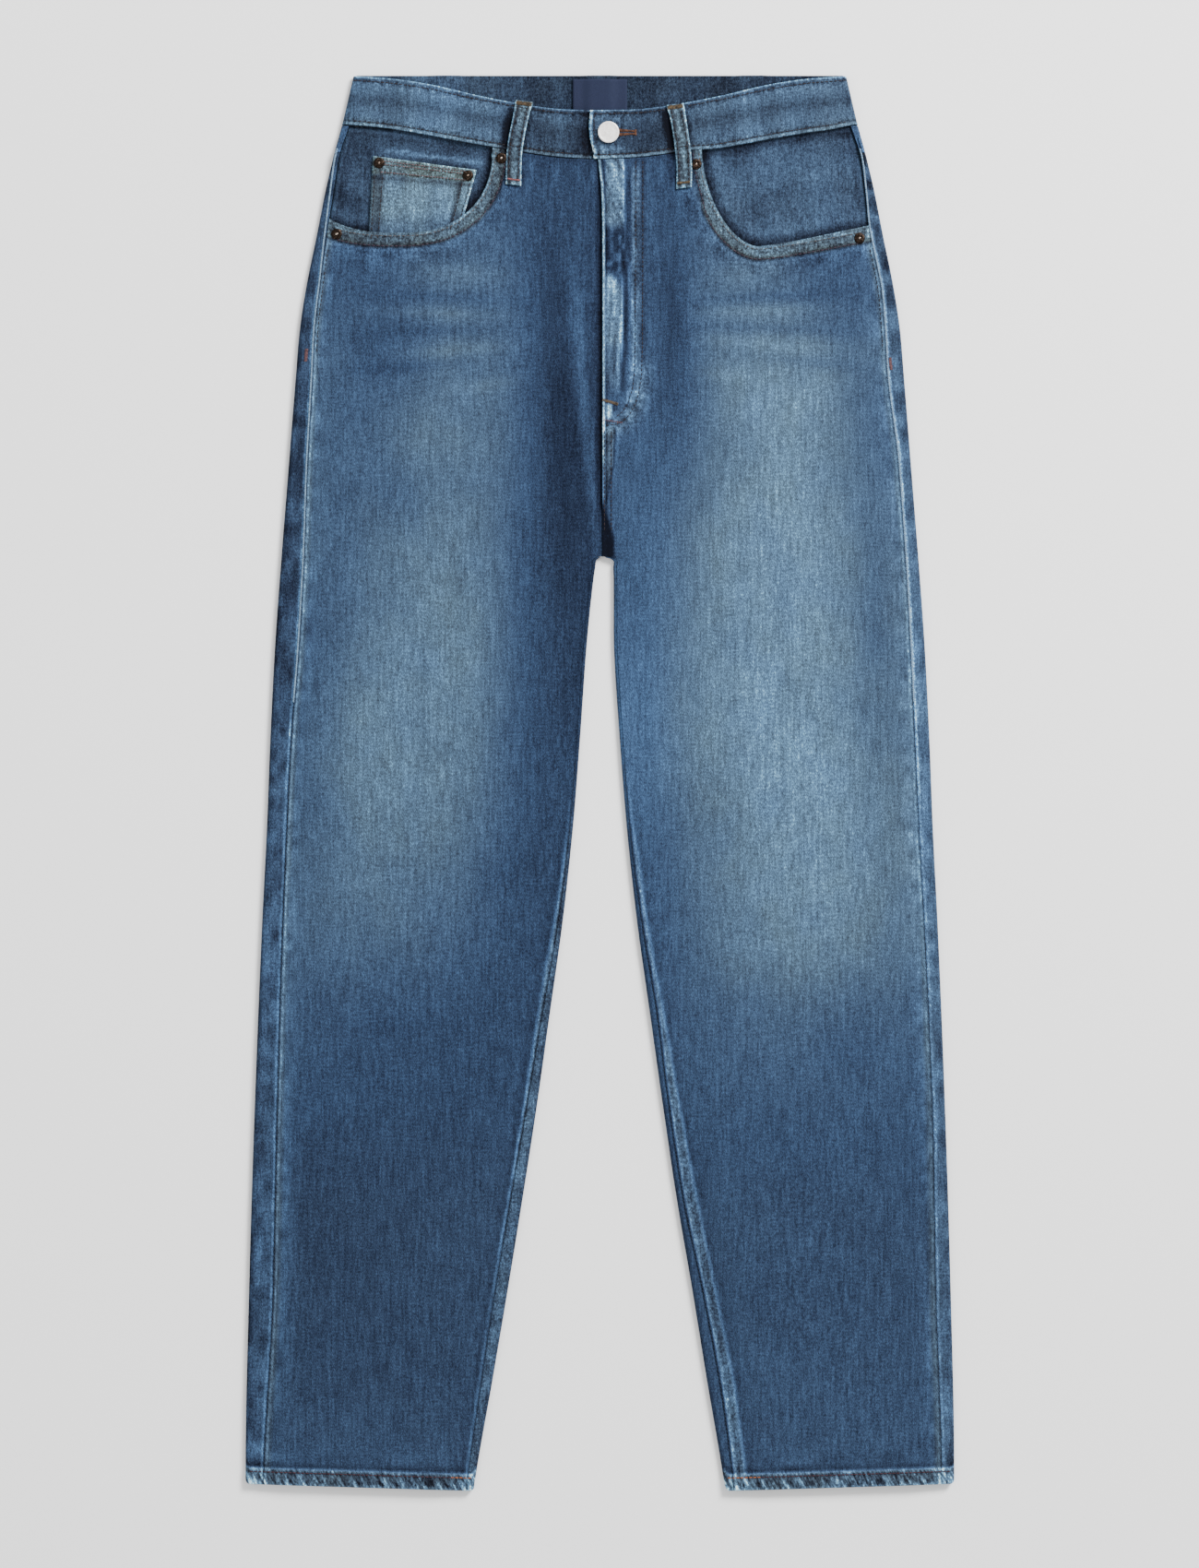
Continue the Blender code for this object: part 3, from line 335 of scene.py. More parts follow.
# %% Distance to a seam
def along_line(line, x, y):
    """(distance, place along) of points from a line given as rows of X, Y."""
    line = np.asarray(line, float)
    start, step = line[:-1], np.diff(line, axis=0)
    length = np.hypot(step[:, 0], step[:, 1])
    before = np.concatenate([[0], np.cumsum(length)[:-1]])
    best = np.full(x.shape, 1e9)
    place = np.zeros(x.shape)
    for k in range(len(start)):
        t = ((x - start[k, 0]) * step[k, 0] + (y - start[k, 1]) * step[k, 1]) / length[k] ** 2
        t = np.clip(t, 0, 1)
        d = np.hypot(x - start[k, 0] - t * step[k, 0], y - start[k, 1] - t * step[k, 1])
        nearer = d < best
        best = np.where(nearer, d, best)
        place = np.where(nearer, before[k] + t * length[k], place)
    return best, place


def spaced(line, step):
    """The same line with points at even steps."""
    line = np.asarray(line, float)
    part = np.hypot(*np.diff(line, axis=0).T)
    total = np.concatenate([[0], np.cumsum(part)])
    at = np.linspace(0, total[-1], max(int(round(total[-1] / step)), 1) + 1)
    return np.stack([np.interp(at, total, line[:, k]) for k in range(line.shape[1])], axis=1)


def moved_aside(line, distance):
    """The line moved to its left by a distance."""
    line = np.asarray(line, float)
    run = np.gradient(line, axis=0)
    run /= np.maximum(np.linalg.norm(run, axis=1, keepdims=True), 1e-9)
    return line + distance * np.stack([-run[:, 1], run[:, 0]], axis=1)


# %% Lines of the seams
def mouth_line(side, step=3.0):
    mouth = MOUTHS[side]
    near = mouth.waist_x + np.array([0, 0.15, 0.5, 1.1, 2.0, 3.3, 5.0, 7.5, 10.5, 14.5, 19.5])
    far = np.linspace(near[-1] + 5, float(seam_x(side, mouth.side_y)), 26)
    x = np.concatenate([near, far])
    y = np.concatenate([mouth_y(mouth, near), mouth_y(mouth, far)])
    return spaced(np.stack([side * x, y], axis=1), step)


LEG_YS = np.concatenate([np.linspace(415, 180, 40), np.linspace(170, HEM_Y, 110)])
SIDE_SEAMS = {}
INSEAMS = {}
for side in (RIGHT, LEFT):
    x = seam_x(side, LEG_YS)
    SIDE_SEAMS[side] = np.stack([side * x, hem_shifted(LEG_YS, x)], axis=1)
    low = LEG_YS[LEG_YS < CROTCH_Y - 1]
    x = inner_at[side](low) + inseam_inset[side](low)
    INSEAMS[side] = np.stack([side * x, hem_shifted(low, x)], axis=1)
MOUTH_LINES = {side: mouth_line(side) for side in (RIGHT, LEFT)}
FLY_EDGE_X, FLY_TUCK, FLY_CLOSES_Y, TUCK_DROP = 1.5, 8.0, 215.0, 1.6
FRONT_LOOPS = {
    "belt_loop_front_right": ((-56.8, 513.6), (-65.3, 450.4)),
    "belt_loop_front_left": ((56.4, 511.2), (63.4, 448.2)),
}
J_STITCH = [
    (32.3, 469), (32.3, 400), (32.0, 330), (31.4, 308), (29.8, 296), (26.6, 285),
    (21.6, 276.5), (15.0, 271), (9.5, 269.8), (4.2, 269.4),
]
J_STITCH = spaced(J_STITCH, 2.0)
FLY_EDGE = [
    (-1.8, 470), (-0.6, 461), (0.5, 450), (1.3, 436), (1.6, 420), (1.7, 380), (1.7, 300), (1.7, 262),
    (1.7, 172),
]
FLY_EDGE = spaced(FLY_EDGE, 3.0)
print("pocket mouth lengths, mm:", [len(MOUTH_LINES[s]) * 3 for s in (RIGHT, LEFT)])

# %% [markdown]
# Stonewashing fades denim where the cloth stands proud: on the thighs down to the knees, along
# every seam ridge and at every edge. It stays dark inside the thighs and on the shins. The fade
# is a value on each point of the cloth, called tone, that the denim material turns into colour.
# The table below gives, for each leg, how dark the cloth is and how bright its faded part is.
# The left leg's rows are paler than the right's partly from the wash and partly as painted light,
# for more light falls on that side.

# %% The wash, with painted light and shade
WashAndLightRow = namedtuple("WashAndLightRow", "y inner outer lift centre width")
WASH_AND_LIGHT_ROWS = {
    RIGHT: [WashAndLightRow(*row) for row in (
        (470, 0.27, 0.33, 0.03, 96, 50), (381, 0.23, 0.34, 0.10, 98, 50),
        (326, 0.21, 0.38, 0.12, 90, 50), (277, 0.18, 0.39, 0.16, 100, 58),
        (173, 0.19, 0.39, 0.18, 116, 62), (103, 0.21, 0.335, 0.22, 126, 69),
        (34, 0.23, 0.335, 0.22, 137, 73), (-35, 0.26, 0.36, 0.15, 142, 68),
        (-105, 0.25, 0.39, 0.07, 144, 64), (-174, 0.26, 0.34, 0.01, 140, 60),
        (-348, 0.31, 0.26, 0.0, 140, 60), (-525, 0.29, 0.31, 0.0, 140, 60),
    )],
    LEFT: [WashAndLightRow(*row) for row in (
        (470, 0.31, 0.33, 0.03, 110, 40), (381, 0.30, 0.33, 0.09, 110, 44),
        (326, 0.27, 0.40, 0.14, 124, 52), (277, 0.29, 0.37, 0.19, 132, 54),
        (173, 0.355, 0.41, 0.16, 130, 62), (103, 0.395, 0.42, 0.14, 132, 62),
        (34, 0.43, 0.43, 0.14, 134, 62), (-35, 0.35, 0.45, 0.13, 144, 66),
        (-105, 0.325, 0.425, 0.13, 144, 66), (-174, 0.33, 0.37, 0.04, 140, 62),
        (-348, 0.31, 0.30, 0.0, 150, 60), (-525, 0.33, 0.33, 0.0, 150, 60),
    )],
}
wash_and_light_curves = {
    side: {name: column(rows, name) for name in ("inner", "outer", "lift", "centre", "width")}
    for side, rows in WASH_AND_LIGHT_ROWS.items()
}
LEG_HALF = 230.0
Patch = namedtuple("Patch", "x y across along turn amount")
PATCHES = [Patch(*row) for row in (
    # Painted shade in the hollows beside the fly, and the bright cloth along the tucked edge of the right
    # front
    (56, 372, 9, 90, 3, -0.05), (-32, 280, 13, 110, 3, -0.06), (-11, 280, 5, 110, 5.7, 0.13),
    (18, 300, 26, 85, 0, 0.035), (-14, 365, 8, 60, 0, 0.05), (50, 345, 10, 60, 0, -0.03),
    (60, 100, 30, 120, 0, 0.02),
    # Broad worn and less worn places of the thighs and knees
    (-146, 215, 18, 30, 0, -0.06), (-156, 150, 14, 40, 0, -0.03), (-118, 232, 30, 16, -8, -0.02),
    (-170, 324, 16, 16, 0, -0.03), (-96, 96, 10, 60, -3, 0.03), (-134, 60, 8, 80, 2, -0.02),
    (160, 292, 26, 18, 10, 0.03), (118, 284, 22, 14, 0, 0.02), (104, 236, 18, 30, 0, -0.03),
    (136, 96, 7, 70, 0, -0.02), (206, 130, 12, 70, 0, -0.04), (98, 24, 14, 40, 0, -0.03),
    (-60, -64, 24, 8, 20, -0.03), (-148, -186, 34, 12, 8, -0.03), (190, -200, 26, 20, -8, -0.03),
    (-236, -340, 7, 170, 0, 0.06), (-170, -515, 90, 26, 0, 0.03),
    # Whiskers, pale on each fold and dark beside it
    (-104, 384, 40, 9, -4, 0.06), (-120, 366, 44, 4, -3, -0.055), (-124, 354, 46, 4, -2, 0.06),
    (-130, 340, 46, 4, 2, -0.05), (-112, 326, 44, 5, 4, 0.06), (-150, 313, 34, 4, 4, -0.05),
    (-84, 300, 30, 5, 8, 0.045), (112, 384, 30, 8, 5, 0.03), (124, 366, 44, 4, 3, -0.055),
    (122, 356, 46, 4, 2, 0.06), (134, 342, 50, 4, -2, -0.055), (126, 331, 46, 5, -4, 0.06),
    (150, 318, 36, 4, -6, -0.05), (98, 306, 26, 5, -10, 0.045),
)]
WORN_TINT = 0.5


def wash_and_painted_light(side, x, y):
    """(tone, fade) of the cloth at X and Y. Tone runs from 0, dark, to 1, white. Besides the wash it
    holds painted light: the left leg is painted paler where more light falls on it, and the hollows
    beside the fly are painted in shade. The fade is strongest on worn cloth away from the inside of
    the leg, which keeps its full blue."""
    curves = wash_and_light_curves[side]
    distance = side * x
    reach = np.abs(distance - curves["centre"](y)) / curves["width"](y)
    inner = curves["inner"](y)
    tone = inner + (curves["outer"](y) - inner) * np.clip(distance / LEG_HALF, 0, 1)
    tone = tone + curves["lift"](y) * np.exp(-(reach**3))
    for p in PATCHES:
        turn = math.radians(p.turn)
        u = (x - p.x) * math.cos(turn) + (y - p.y) * math.sin(turn)
        v = (y - p.y) * math.cos(turn) - (x - p.x) * math.sin(turn)
        tone += p.amount * np.exp(-((u / p.across) ** 2) - (v / p.along) ** 2)
    fade = WORN_TINT * ease((tone - 0.28) / 0.24) * (0.15 + 0.85 * ease((distance - 30) / 45))
    return tone, np.maximum(fade, 0.08 * ease((-220 - y) / 120))


print("wash rows:", {side: len(rows) for side, rows in WASH_AND_LIGHT_ROWS.items()})

# %% [markdown]
# Each cloth piece starts as a grid of points on its outer face. Blender's Solidify modifier then
# gives it the thickness of the cloth, on its inner side, and is applied. Four values ride on
# the points as attributes for the material: tone, fade, which warms the colour of worn parts,
# wear, which mottles the cloth beside a seam where its ripples were rubbed, and rope, which
# draws the slanting streaks of a hem that has twisted in the wash.

# %% Making a cloth sheet
MIDDLE_HEIGHT = 2.6
made = {}


def deselect_all():
    for obj in bpy.context.selected_objects:
        obj.select_set(False)


def select_only(piece):
    """Makes a piece the only one that Blender's operators work on."""
    deselect_all()
    bpy.context.view_layer.objects.active = piece
    piece.select_set(True)


def new_piece(name, points, faces):
    """A mesh from points in metres and faces, as the selected piece."""
    mesh = bpy.data.meshes.new(name)
    mesh.from_pydata(points, [], faces)
    piece = bpy.data.objects.new(name, mesh)
    bpy.context.scene.collection.objects.link(piece)
    select_only(piece)
    return piece


def cloth(name, x, y, z, thickness, tone, fade, wear, rope=0.0):
    """A sheet of cloth on a grid of points in millimetres, with its outer face up the normals."""
    rows, columns = x.shape
    grid = np.stack([x, y, z], axis=2)
    points = grid.reshape(-1, 3) * MM
    index = np.arange(rows * columns).reshape(rows, columns)
    quads = np.stack([index[:-1, :-1], index[:-1, 1:], index[1:, 1:], index[1:, :-1]], axis=2)
    quads = quads.reshape(-1, 4)
    run, fall = np.gradient(grid, axis=1), np.gradient(grid, axis=0)
    # A back has points on both faces, so the sense of its area is summed over all of them
    facing = np.cross(run, fall)
    outward = np.sign(z.reshape(-1) - MIDDLE_HEIGHT)
    if float(np.sum(facing[..., 2].reshape(-1) * outward)) <= 0:
        quads = quads[:, ::-1]
    piece = new_piece(name, points.tolist(), quads.tolist())
    for label, values in (("tone", tone), ("fade", fade), ("wear", wear), ("rope", rope)):
        layer = piece.data.attributes.new(label, "FLOAT", "POINT")
        flat_values = np.broadcast_to(values, x.shape).reshape(-1)
        layer.data.foreach_set("value", flat_values.astype(np.float32))
    wall = piece.modifiers.new("cloth wall", "SOLIDIFY")
    wall.thickness = thickness * MM
    wall.offset = -1.0
    bpy.ops.object.modifier_apply(modifier=wall.name)
    bpy.ops.object.shade_smooth()
    made[name] = piece
    print(f"{name}: {len(piece.data.polygons)} faces")
    return piece


# %% [markdown]
# The fronts carry most of what the eye sees. Their grid is fine beside the seams, the pocket
# mouth and the hem, and coarser on the broad thigh. The same columns run from waist to hem.

# %% Grid of a front
beside_seam = np.array([0, 0.35, 0.75, 1.2, 1.65, 2.1, 2.7, 3.4, 4.3])
inner_offsets = np.concatenate([beside_seam, np.arange(5.3, 28, 1.2)])
outer_offsets = np.concatenate([[14, 12.3, 10.7, 9.2, 7.8, 6.5, 5.3], beside_seam[::-1]])
beside_corner = np.array([0, 0.12, 0.45, 1.0, 1.8, 2.8, 4.0, 5.4, 7.0, 9.0, 11.2, 13.8, 16.8])
mouth_levels = 1 - np.array([0, 0.8, 1.8, 3.0, 4.4, 6.0, 7.6, 9.0, 10.2, 11.4, 13.0, 15.5]) / 60
crotch_rows = [177, 174.5, 172.5, 171.2, 170.4, 169.4, 168.5, 167, 165, 162.5]
hem_rows = [19, 16.5, 14.5, 13.2, 12.2, 11.2, 10.0, 8.6, 7.0, 5.4, 3.8, 2.4, 1.2, 0.4, 0.0]


def leg_rows(hip_count, leg_count):
    """Y of the rows from the hip down, close together at the crotch and in the hem."""
    hip = np.linspace(HIP_ROW_Y, 180, hip_count)
    leg = np.linspace(159, HEM_Y + 22, leg_count)
    return np.concatenate([hip, crotch_rows, leg, HEM_Y + np.array(hem_rows)])


def hip_column_places(side):
    """Distances from the centre line of a front's columns at the hip row."""
    mouth = MOUTHS[side]
    start = float(front_edge_x(side, HIP_ROW_Y))
    seam = float(seam_x(side, HIP_ROW_Y)) - SEAM_GAP / 2
    inside = start + inner_offsets
    before = np.arange(inside[-1] + 3.4, mouth.waist_x - 13, 3.4)
    beside = np.arange(mouth.waist_x - 12, mouth.waist_x - 1, 1.5)
    corner = mouth.waist_x + beside_corner
    after = np.arange(corner[-1] + 3.2, seam - 17, 3.2)
    return inside, np.concatenate([before, beside, corner, after]), seam - outer_offsets


def front_edge_x(side, y):
    """Where a front ends at the centre: the left edge is the fly, the right one is tucked."""
    y = np.asarray(y, float)
    if side == LEFT:
        return np.interp(y, FLY_EDGE[::-1, 1], FLY_EDGE[::-1, 0]) + SEAM_GAP / 2
    tuck = FLY_TUCK * ease((y - FLY_CLOSES_Y) / 25)
    return -(FLY_EDGE_X - SEAM_GAP / 2) - tuck


def tuck_drop(side, x, y):
    """How far the right front dips to pass under the fly's edge."""
    if side == LEFT:
        return 0.0
    return TUCK_DROP * (1 - ease((x + 1.5) / 8.0)) * ease((y - FLY_CLOSES_Y + 20) / 20)


def front_grid(side):
    """X distances and Y of a front's grid, and heights where a point is on the inner fold."""
    inside, middle, outside = hip_column_places(side)
    share = (middle - inside[-1]) / (outside[0] - inside[-1])
    mouth = MOUTHS[side]
    hip_x = np.concatenate([inside, middle, outside])
    top = np.where(hip_x < mouth.waist_x, band_bottom(np.abs(hip_x)) - SEAM_GAP, mouth_y(mouth, hip_x))
    rows_x, rows_y, rows_z = [], [], []
    # Rows of the hip, close together under the pocket mouth's hem
    for level in np.concatenate([mouth_levels, np.linspace(0.70, 0.04, 20)]):
        y = HIP_ROW_Y + (top - HIP_ROW_Y) * level
        lean = seam_x(side, y) - SEAM_GAP / 2 - outside[-1]
        weight = ease((hip_x - mouth.waist_x - 17) / (outside[-1] - mouth.waist_x - 17))
        edge = (front_edge_x(side, y) - inside[0]) * (1 - ease((hip_x - inside[0]) / 20))
        rows_x.append(hip_x + lean * weight + edge)
        rows_y.append(y)
        rows_z.append(np.full(hip_x.shape, np.nan))
    for y in leg_rows(58, 190):
        out = float(seam_x(side, y)) - SEAM_GAP / 2 - outer_offsets
        z = np.full(hip_x.shape, np.nan)
        if y > CROTCH_Y:
            near = float(front_edge_x(side, y)) + inner_offsets
        else:
            arcs = float(fold_arc(inseam_inset[side](y))) + SEAM_GAP / 2 + inner_offsets
            inset, height, on_round = wrapped(arcs)
            near = float(inner_at[side](y)) + inset
            z[: len(near)] = np.where(on_round, height, np.nan)
        xs = np.concatenate([near, near[-1] + share * (out[0] - near[-1]), out])
        rows_x.append(xs)
        rows_y.append(hem_shifted(np.full(hip_x.shape, y), xs))
        rows_z.append(z)
    return np.array(rows_x), np.array(rows_y), np.array(rows_z)


# %% Look of a sewn edge
def sewn(z, tone, d, s, ridge, worn, ripple, period, seed):
    """Raises and wears the cloth beside a seam: d is the distance from it and s the place
    along it. Ridge is the stack's height, worn the paling of its top, ripple its puckers."""
    wave = wander(s, period, seed)
    z = z + ridge * np.exp(-((d / 2.2) ** 2)) + ripple * wave * np.exp(-(((d - 4.5) / 5.5) ** 2))
    # Pale worn lines beside the seam, and a faint painted shade along its gap
    tone = tone + worn * bump_at(d, 1.7, 0.9) * (0.85 + 0.4 * wave) - 0.03 * bump_at(d, 0.0, 0.7)
    tone += (0.04 + 0.08 * patchy(s, d, 7.0, 6.0, seed)) * bump_at(d, 6.0, 4.5)
    return z, tone


def seam_wear(y, upper, lower):
    """How pale the lines beside a seam are: upper at the hip, lower below the knee."""
    return upper + (lower - upper) * ease((60 - y) / 120)


# %% Roped hems
def hem_look(z, tone, x, y, s_seed):
    """The turned-up hem: a thicker band with twisted, worn ridges, called roping."""
    level = y - hem_shifted(np.full(y.shape, HEM_Y), np.abs(x))
    in_hem = ease((HEM_DEPTH + 0.8 - level) / 1.6)
    rope = wander(x + 0.55 * level, 9.4, s_seed)
    low_part = in_hem * bump_at(level, 4.0, 4.6)
    uneven = patchy(x, level, 13.0, 30.0, s_seed)
    inner_end = np.abs(x) - inner_at[LEFT](y)
    outer_end = outer_at(y) - np.abs(x)
    corners = bump_at(inner_end, 3, 8) + bump_at(outer_end, 3, 14)
    z = z + in_hem * 0.5 + 0.3 * rope * low_part
    z += bumps(level, (-0.25, 9.6, 0.9), (-0.30, 14.0, 1.3))
    tone = tone + in_hem * (0.01 + 0.05 * uneven + 0.14 * corners)
    tone += low_part * (0.26 * ease(rope / 0.7) - 0.07 * ease(-rope / 0.7))
    tone += bumps(level, (0.16, 0.0, 1.5), (-0.10, 9.4, 0.8))
    tone += bump_at(level, 11.9, 1.0) * (0.204 + 0.06 * uneven)
    tone -= bump_at(level, 14.8, 1.7) * (0.12 + 0.09 * uneven)
    tone += 0.07 * bump_at(level, 20.0, 5.0) * uneven
    return z, tone, in_hem


# %% Shade in the crotch and beside the loops
def crotch_shade(sx, y):
    """The dark cleft where the legs part, a narrow triangle with its point up."""
    width = 3.0 + 9.5 * np.clip((214 - y) / 30, 0, 1)
    return ease((width - sx) / 3.4) * ease((sx + 3.4) / 1.6) * ease((222 - y) / 14) * (y > 160)


def loop_bow(side, share):
    """How far a belt loop bows outwards at a share of its length, in mm of X."""
    return 2.3 * side * np.sin(np.pi * np.clip(share, 0, 1))


def loop_shade(sx, y):
    """The shade that each belt loop casts on the cloth beside it, deepest on its right-hand side
    as worn."""
    total = 0.0
    for (top_x, top_y), (low_x, low_y) in FRONT_LOOPS.values():
        share = (top_y - y) / (top_y - low_y)
        middle = top_x + share * (low_x - top_x) + loop_bow(np.sign(top_x), share)
        along = ease((y - low_y) / 8) * ease((top_y - 2 - y) / 6)
        beside = bump_at(sx - middle, -8.4, 3.6) + 0.5 * bump_at(sx - middle, 7.2, 1.2)
        total = total + along * beside * (0.5 + 0.5 * ease((y - 466) / 14))
    return total


# %% Pocket hem and inseam allowance
def hem_width(side, y):
    """Width of a pocket mouth's hem. The left one rolls under towards the waist."""
    return 11.4 - (3.2 * ease((y - 425) / 22) if side == LEFT else 0.0)


# The height of places along a leg, and how far the inseam's allowance reaches from its edge there
INSEAM_RIDGE = {
    RIGHT: ([-520, -454, -348, -230, -140, -105, -56, 0], [6.6, 8.6, 10.5, 9.6, 8.3, 6.2, 4.4, 2.0]),
    LEFT: ([-520, -454, -369, -313, -174, -105, -56, 0], [17.2, 19.9, 16.8, 15.0, 10.2, 7.2, 6.4, 3.0]),
}


def inseam_look(side, z, tone, wear, x, y, on_front):
    """The seam allowance beside an inseam: a paler mottled strip that ends in a ridge."""
    strength = ease((10 - y) / 90)
    from_edge = x - inner_at[side](y)
    seam = inseam_inset[side](y)
    ridge = np.interp(y, *INSEAM_RIDGE[side]) - from_edge
    begin = from_edge - (seam + 1.0 if side == LEFT else 0.0)
    strip = ease(ridge / 1.5) * ease(begin / 1.5) * strength
    mottle = patchy(x, y, 5.0, 8.0, 3 + side)
    tone = tone + strip * (0.10 + 0.10 * mottle) - 0.05 * strength * (from_edge < 2.5)
    if on_front:
        tone += strength * bumps(ridge, (0.17, 0, 1.1), (-0.09, 2.6, 0.9), (-0.04, -3.5, 2.5))
        z = z + strength * (0.25 * ease((ridge + 1) / 2) + 0.12 * mottle * strip)
    if side == LEFT:
        tone += strip * (0.07 * ease((-400 - y) / 90) - 0.10 * bump_at(ridge, 4.6, 1.0))
    return z, tone, np.maximum(wear, 0.6 * strip), 0.32 * strip


# %% Folded edge of the fly
def span(value, low, high, soft):
    """1 between low and high, with soft ends."""
    return ease((value - low) / soft + 0.5) * ease((high - value) / soft + 0.5)


def fly_edge_look(z, tone, fade, sx, y):
    """The folded edge of the fly, worn to a pale cord with a dark groove inside it."""
    d, s = along_line(FLY_EDGE, sx, y)
    above = ease((y - 232) / 14)
    cord = bump_at(d, 1.1, 1.15) * (0.35 * ease((y - 205) / 10) + 0.65 * above)
    twist = 0.85 + 0.2 * np.sin(2 * math.pi * (s + 0.8 * d) / 2.4)
    z = z + 0.35 * cord * twist - 0.2 * bump_at(d, 3.1, 0.7)
    tone = tone + 0.46 * cord * twist - 0.20 * bump_at(d, 3.1, 0.6)
    return z, tone, np.maximum(fade, 0.7 * cord)


# %% The strip over the zip
FlyLine = namedtuple("FlyLine", "amount x width low high soft")
FLY_LINES = [FlyLine(*row) for row in (
    (0.26, 16.8, 0.8, 318, 380, 8), (-0.11, 21.6, 2.2, 392, 462, 14),
    (-0.16, 19.6, 1.7, 322, 392, 10), (-0.12, 17.4, 3.0, 292, 322, 10),
)]


def fly_strip_look(z, tone, fade, wear, sx, y):
    """The strip over the zip: rubbed pale in two long patches, each ending at a sharp ridge."""
    slanted = patchy(sx + 0.5 * y, y, 2.4, 16, 4)
    upright = patchy(sx, y, 2.2, 20, 5)
    spots = patchy(sx, y, 3.0, 4.5, 6)
    upper = span(sx, 4.2, 18.0, 1.6) * span(y, 419, 480, 10)
    middle = span(sx, 4.2, 19.0, 2.0) * span(y, 386, 419, 8)
    notch = 4.5 + 12.0 * ease((392 - y) / 22)
    lower = span(sx, 4.2, notch, 2.2) * span(y, 330, 384, 12)
    foot = span(sx, 4.2, 15.5, 2.5) * span(y, 296, 330, 20)
    tone = tone + upper * (0.16 + 0.26 * slanted) + middle * (0.30 * ease(spots) - 0.15)
    tone += lower * (0.26 + 0.18 * upright) + foot * (0.12 + 0.24 * upright)
    tone += (0.24 + 0.10 * upright) * bump_at(sx, 18.0, 1.0) * span(y, 421, 466, 8)
    for line in FLY_LINES:
        tone += line.amount * bump_at(sx, line.x, line.width) * span(y, *line[3:])
    # Grey upright streaks where the layers of the placket were rubbed
    rubbed = span(sx, 23.5, 31.5, 3.0) * span(y, 300, 464, 14)
    beside = span(sx, 20.5, 28.0, 3.0) * span(y, 286, 392, 12)
    tone += rubbed * (0.08 + 0.17 * upright) + beside * (0.08 + 0.12 * upright)
    strips = np.clip(upper + lower + 0.6 * foot, 0, 1)
    z = z + 0.30 * bump_at(sx, 17.6, 1.6) * span(y, 318, 466, 12) + 0.12 * slanted * upper
    fade = np.maximum(fade, 0.42 * strips + 0.25 * rubbed)
    return z, tone, fade, np.maximum(wear, 0.5 * np.clip(strips + rubbed, 0, 1))


# %% The foot of the fly
def fly_foot_look(z, tone, fade, wear, sx, y):
    """The J of double stitching with its puckers, the tacked foot and the felled seam."""
    d, s = along_line(J_STITCH, sx, y)
    puckers = ease((330 - y) / 25) * np.exp(-((d / 8) ** 2))
    folds = patchy(s, d, 3.6, 5.0, 2)
    z = z + 0.35 * folds * puckers - 0.25 * bump_at(d, 0, 0.9) - 0.22 * bump_at(d, 5.4, 0.9) * (sx < 33)
    tone = tone + puckers * (0.18 + 0.26 * folds) - 0.10 * bump_at(d, 0, 0.8)
    tone -= 0.08 * bump_at(d, 5.4, 0.8) * (sx < 33)
    patch = span(sx, 4.4, 9.4, 1.2) * span(y, 274.5, 285.0, 2.0)
    tone += 0.38 * patch
    tone -= 0.20 * bump_at(sx, 10.6, 1.5) * span(y, 279, 286, 2.5)
    # Below the tacks the seam narrows to a point above the crotch
    right_edge = np.interp(y, [210, 240, 262], [3.4, 9.8, 10.8])
    felled = span(y, 211, 267, 5) * span(sx, 4.4, right_edge, 1.2)
    low_end = 0.10 * ease((242 - y) / 26)
    tone += felled * (0.07 + 0.16 * patchy(sx, y, 2.6, 4.0, 5) - low_end)
    beside = span(y, 211, 267, 5) * bump_at(sx, right_edge + 0.6, 0.8)
    tone = tone - 0.18 * beside + 0.10 * span(y, 232, 267, 6) * bump_at(sx, right_edge + 2.4, 1.0)
    z += 0.3 * felled
    fade = np.maximum(fade, 0.35 * felled + 0.3 * puckers + 0.5 * patch)
    wear = np.maximum(wear, 0.5 * felled + 0.5 * puckers)
    shade = crotch_shade(sx, y)
    return z, tone * (1 - 0.88 * shade), fade * (1 - shade), np.clip(wear, 0, 1) * (1 - shade)


def fly_look(z, tone, fade, wear, sx, y):
    """The whole fly on the left front."""
    z = z + 0.28 * ease((32.3 - sx) / 3) * ease((y - 262) / 10)
    z, tone, fade = fly_edge_look(z, tone, fade, sx, y)
    z, tone, fade, wear = fly_strip_look(z, tone, fade, wear, sx, y)
    return fly_foot_look(z, tone, fade, wear, sx, y)


# %% Edges of a front
MOUTH_HEM_TONE = {RIGHT: 0.41, LEFT: 0.44}


def mouth_look(side, z, tone, fade, x, y):
    """The hem of the pocket mouth: a double layer as wide as its two rows of thread."""
    d, s = along_line(MOUTH_LINES[side], side * x, y)
    near = (d < 40) & (x > MOUTHS[side].waist_x - 30)
    width = hem_width(side, y)
    hem = ease((width - d) / 1.4) * near
    z = z + hem * 0.45 + near * 0.24 * wander(s, 13, side) * bump_at(d, 8, 8)
    z -= near * bumps(d, (0.25, 2.1, 0.8), (0.25, width - 1.8, 0.8))
    base = MOUTH_HEM_TONE[side] - 0.05 * ease((x - 125) / 25)
    tone = tone + hem * (base - tone + 0.06 * patchy(s, d, 8, 8, side + 2))
    tone += near * bumps(d, (0.13, 1.3, 1.0), (-0.04, 2.9, 0.8))
    tone -= near * bumps(d, (0.16, width - 1.2, 1.6), (-0.07, width + 1.6, 1.3))
    tone += near * 0.09 * patchy(s, d, 9, 9, side + 4) * bump_at(d, 18, 9)
    wear = np.maximum(0.95 * hem, 0.45 * near * bump_at(d, 15, 6))
    return z, tone, np.maximum(fade, 0.62 * hem + 0.2 * near * bump_at(d, 10, 2)), wear


# %% The two fronts
FRONT_SEAM_WEAR = {RIGHT: (0.22, 0.20), LEFT: (0.18, 0.12)}
BACK_SEAM_WEAR = {RIGHT: (0.32, 0.18), LEFT: (0.26, 0.13)}


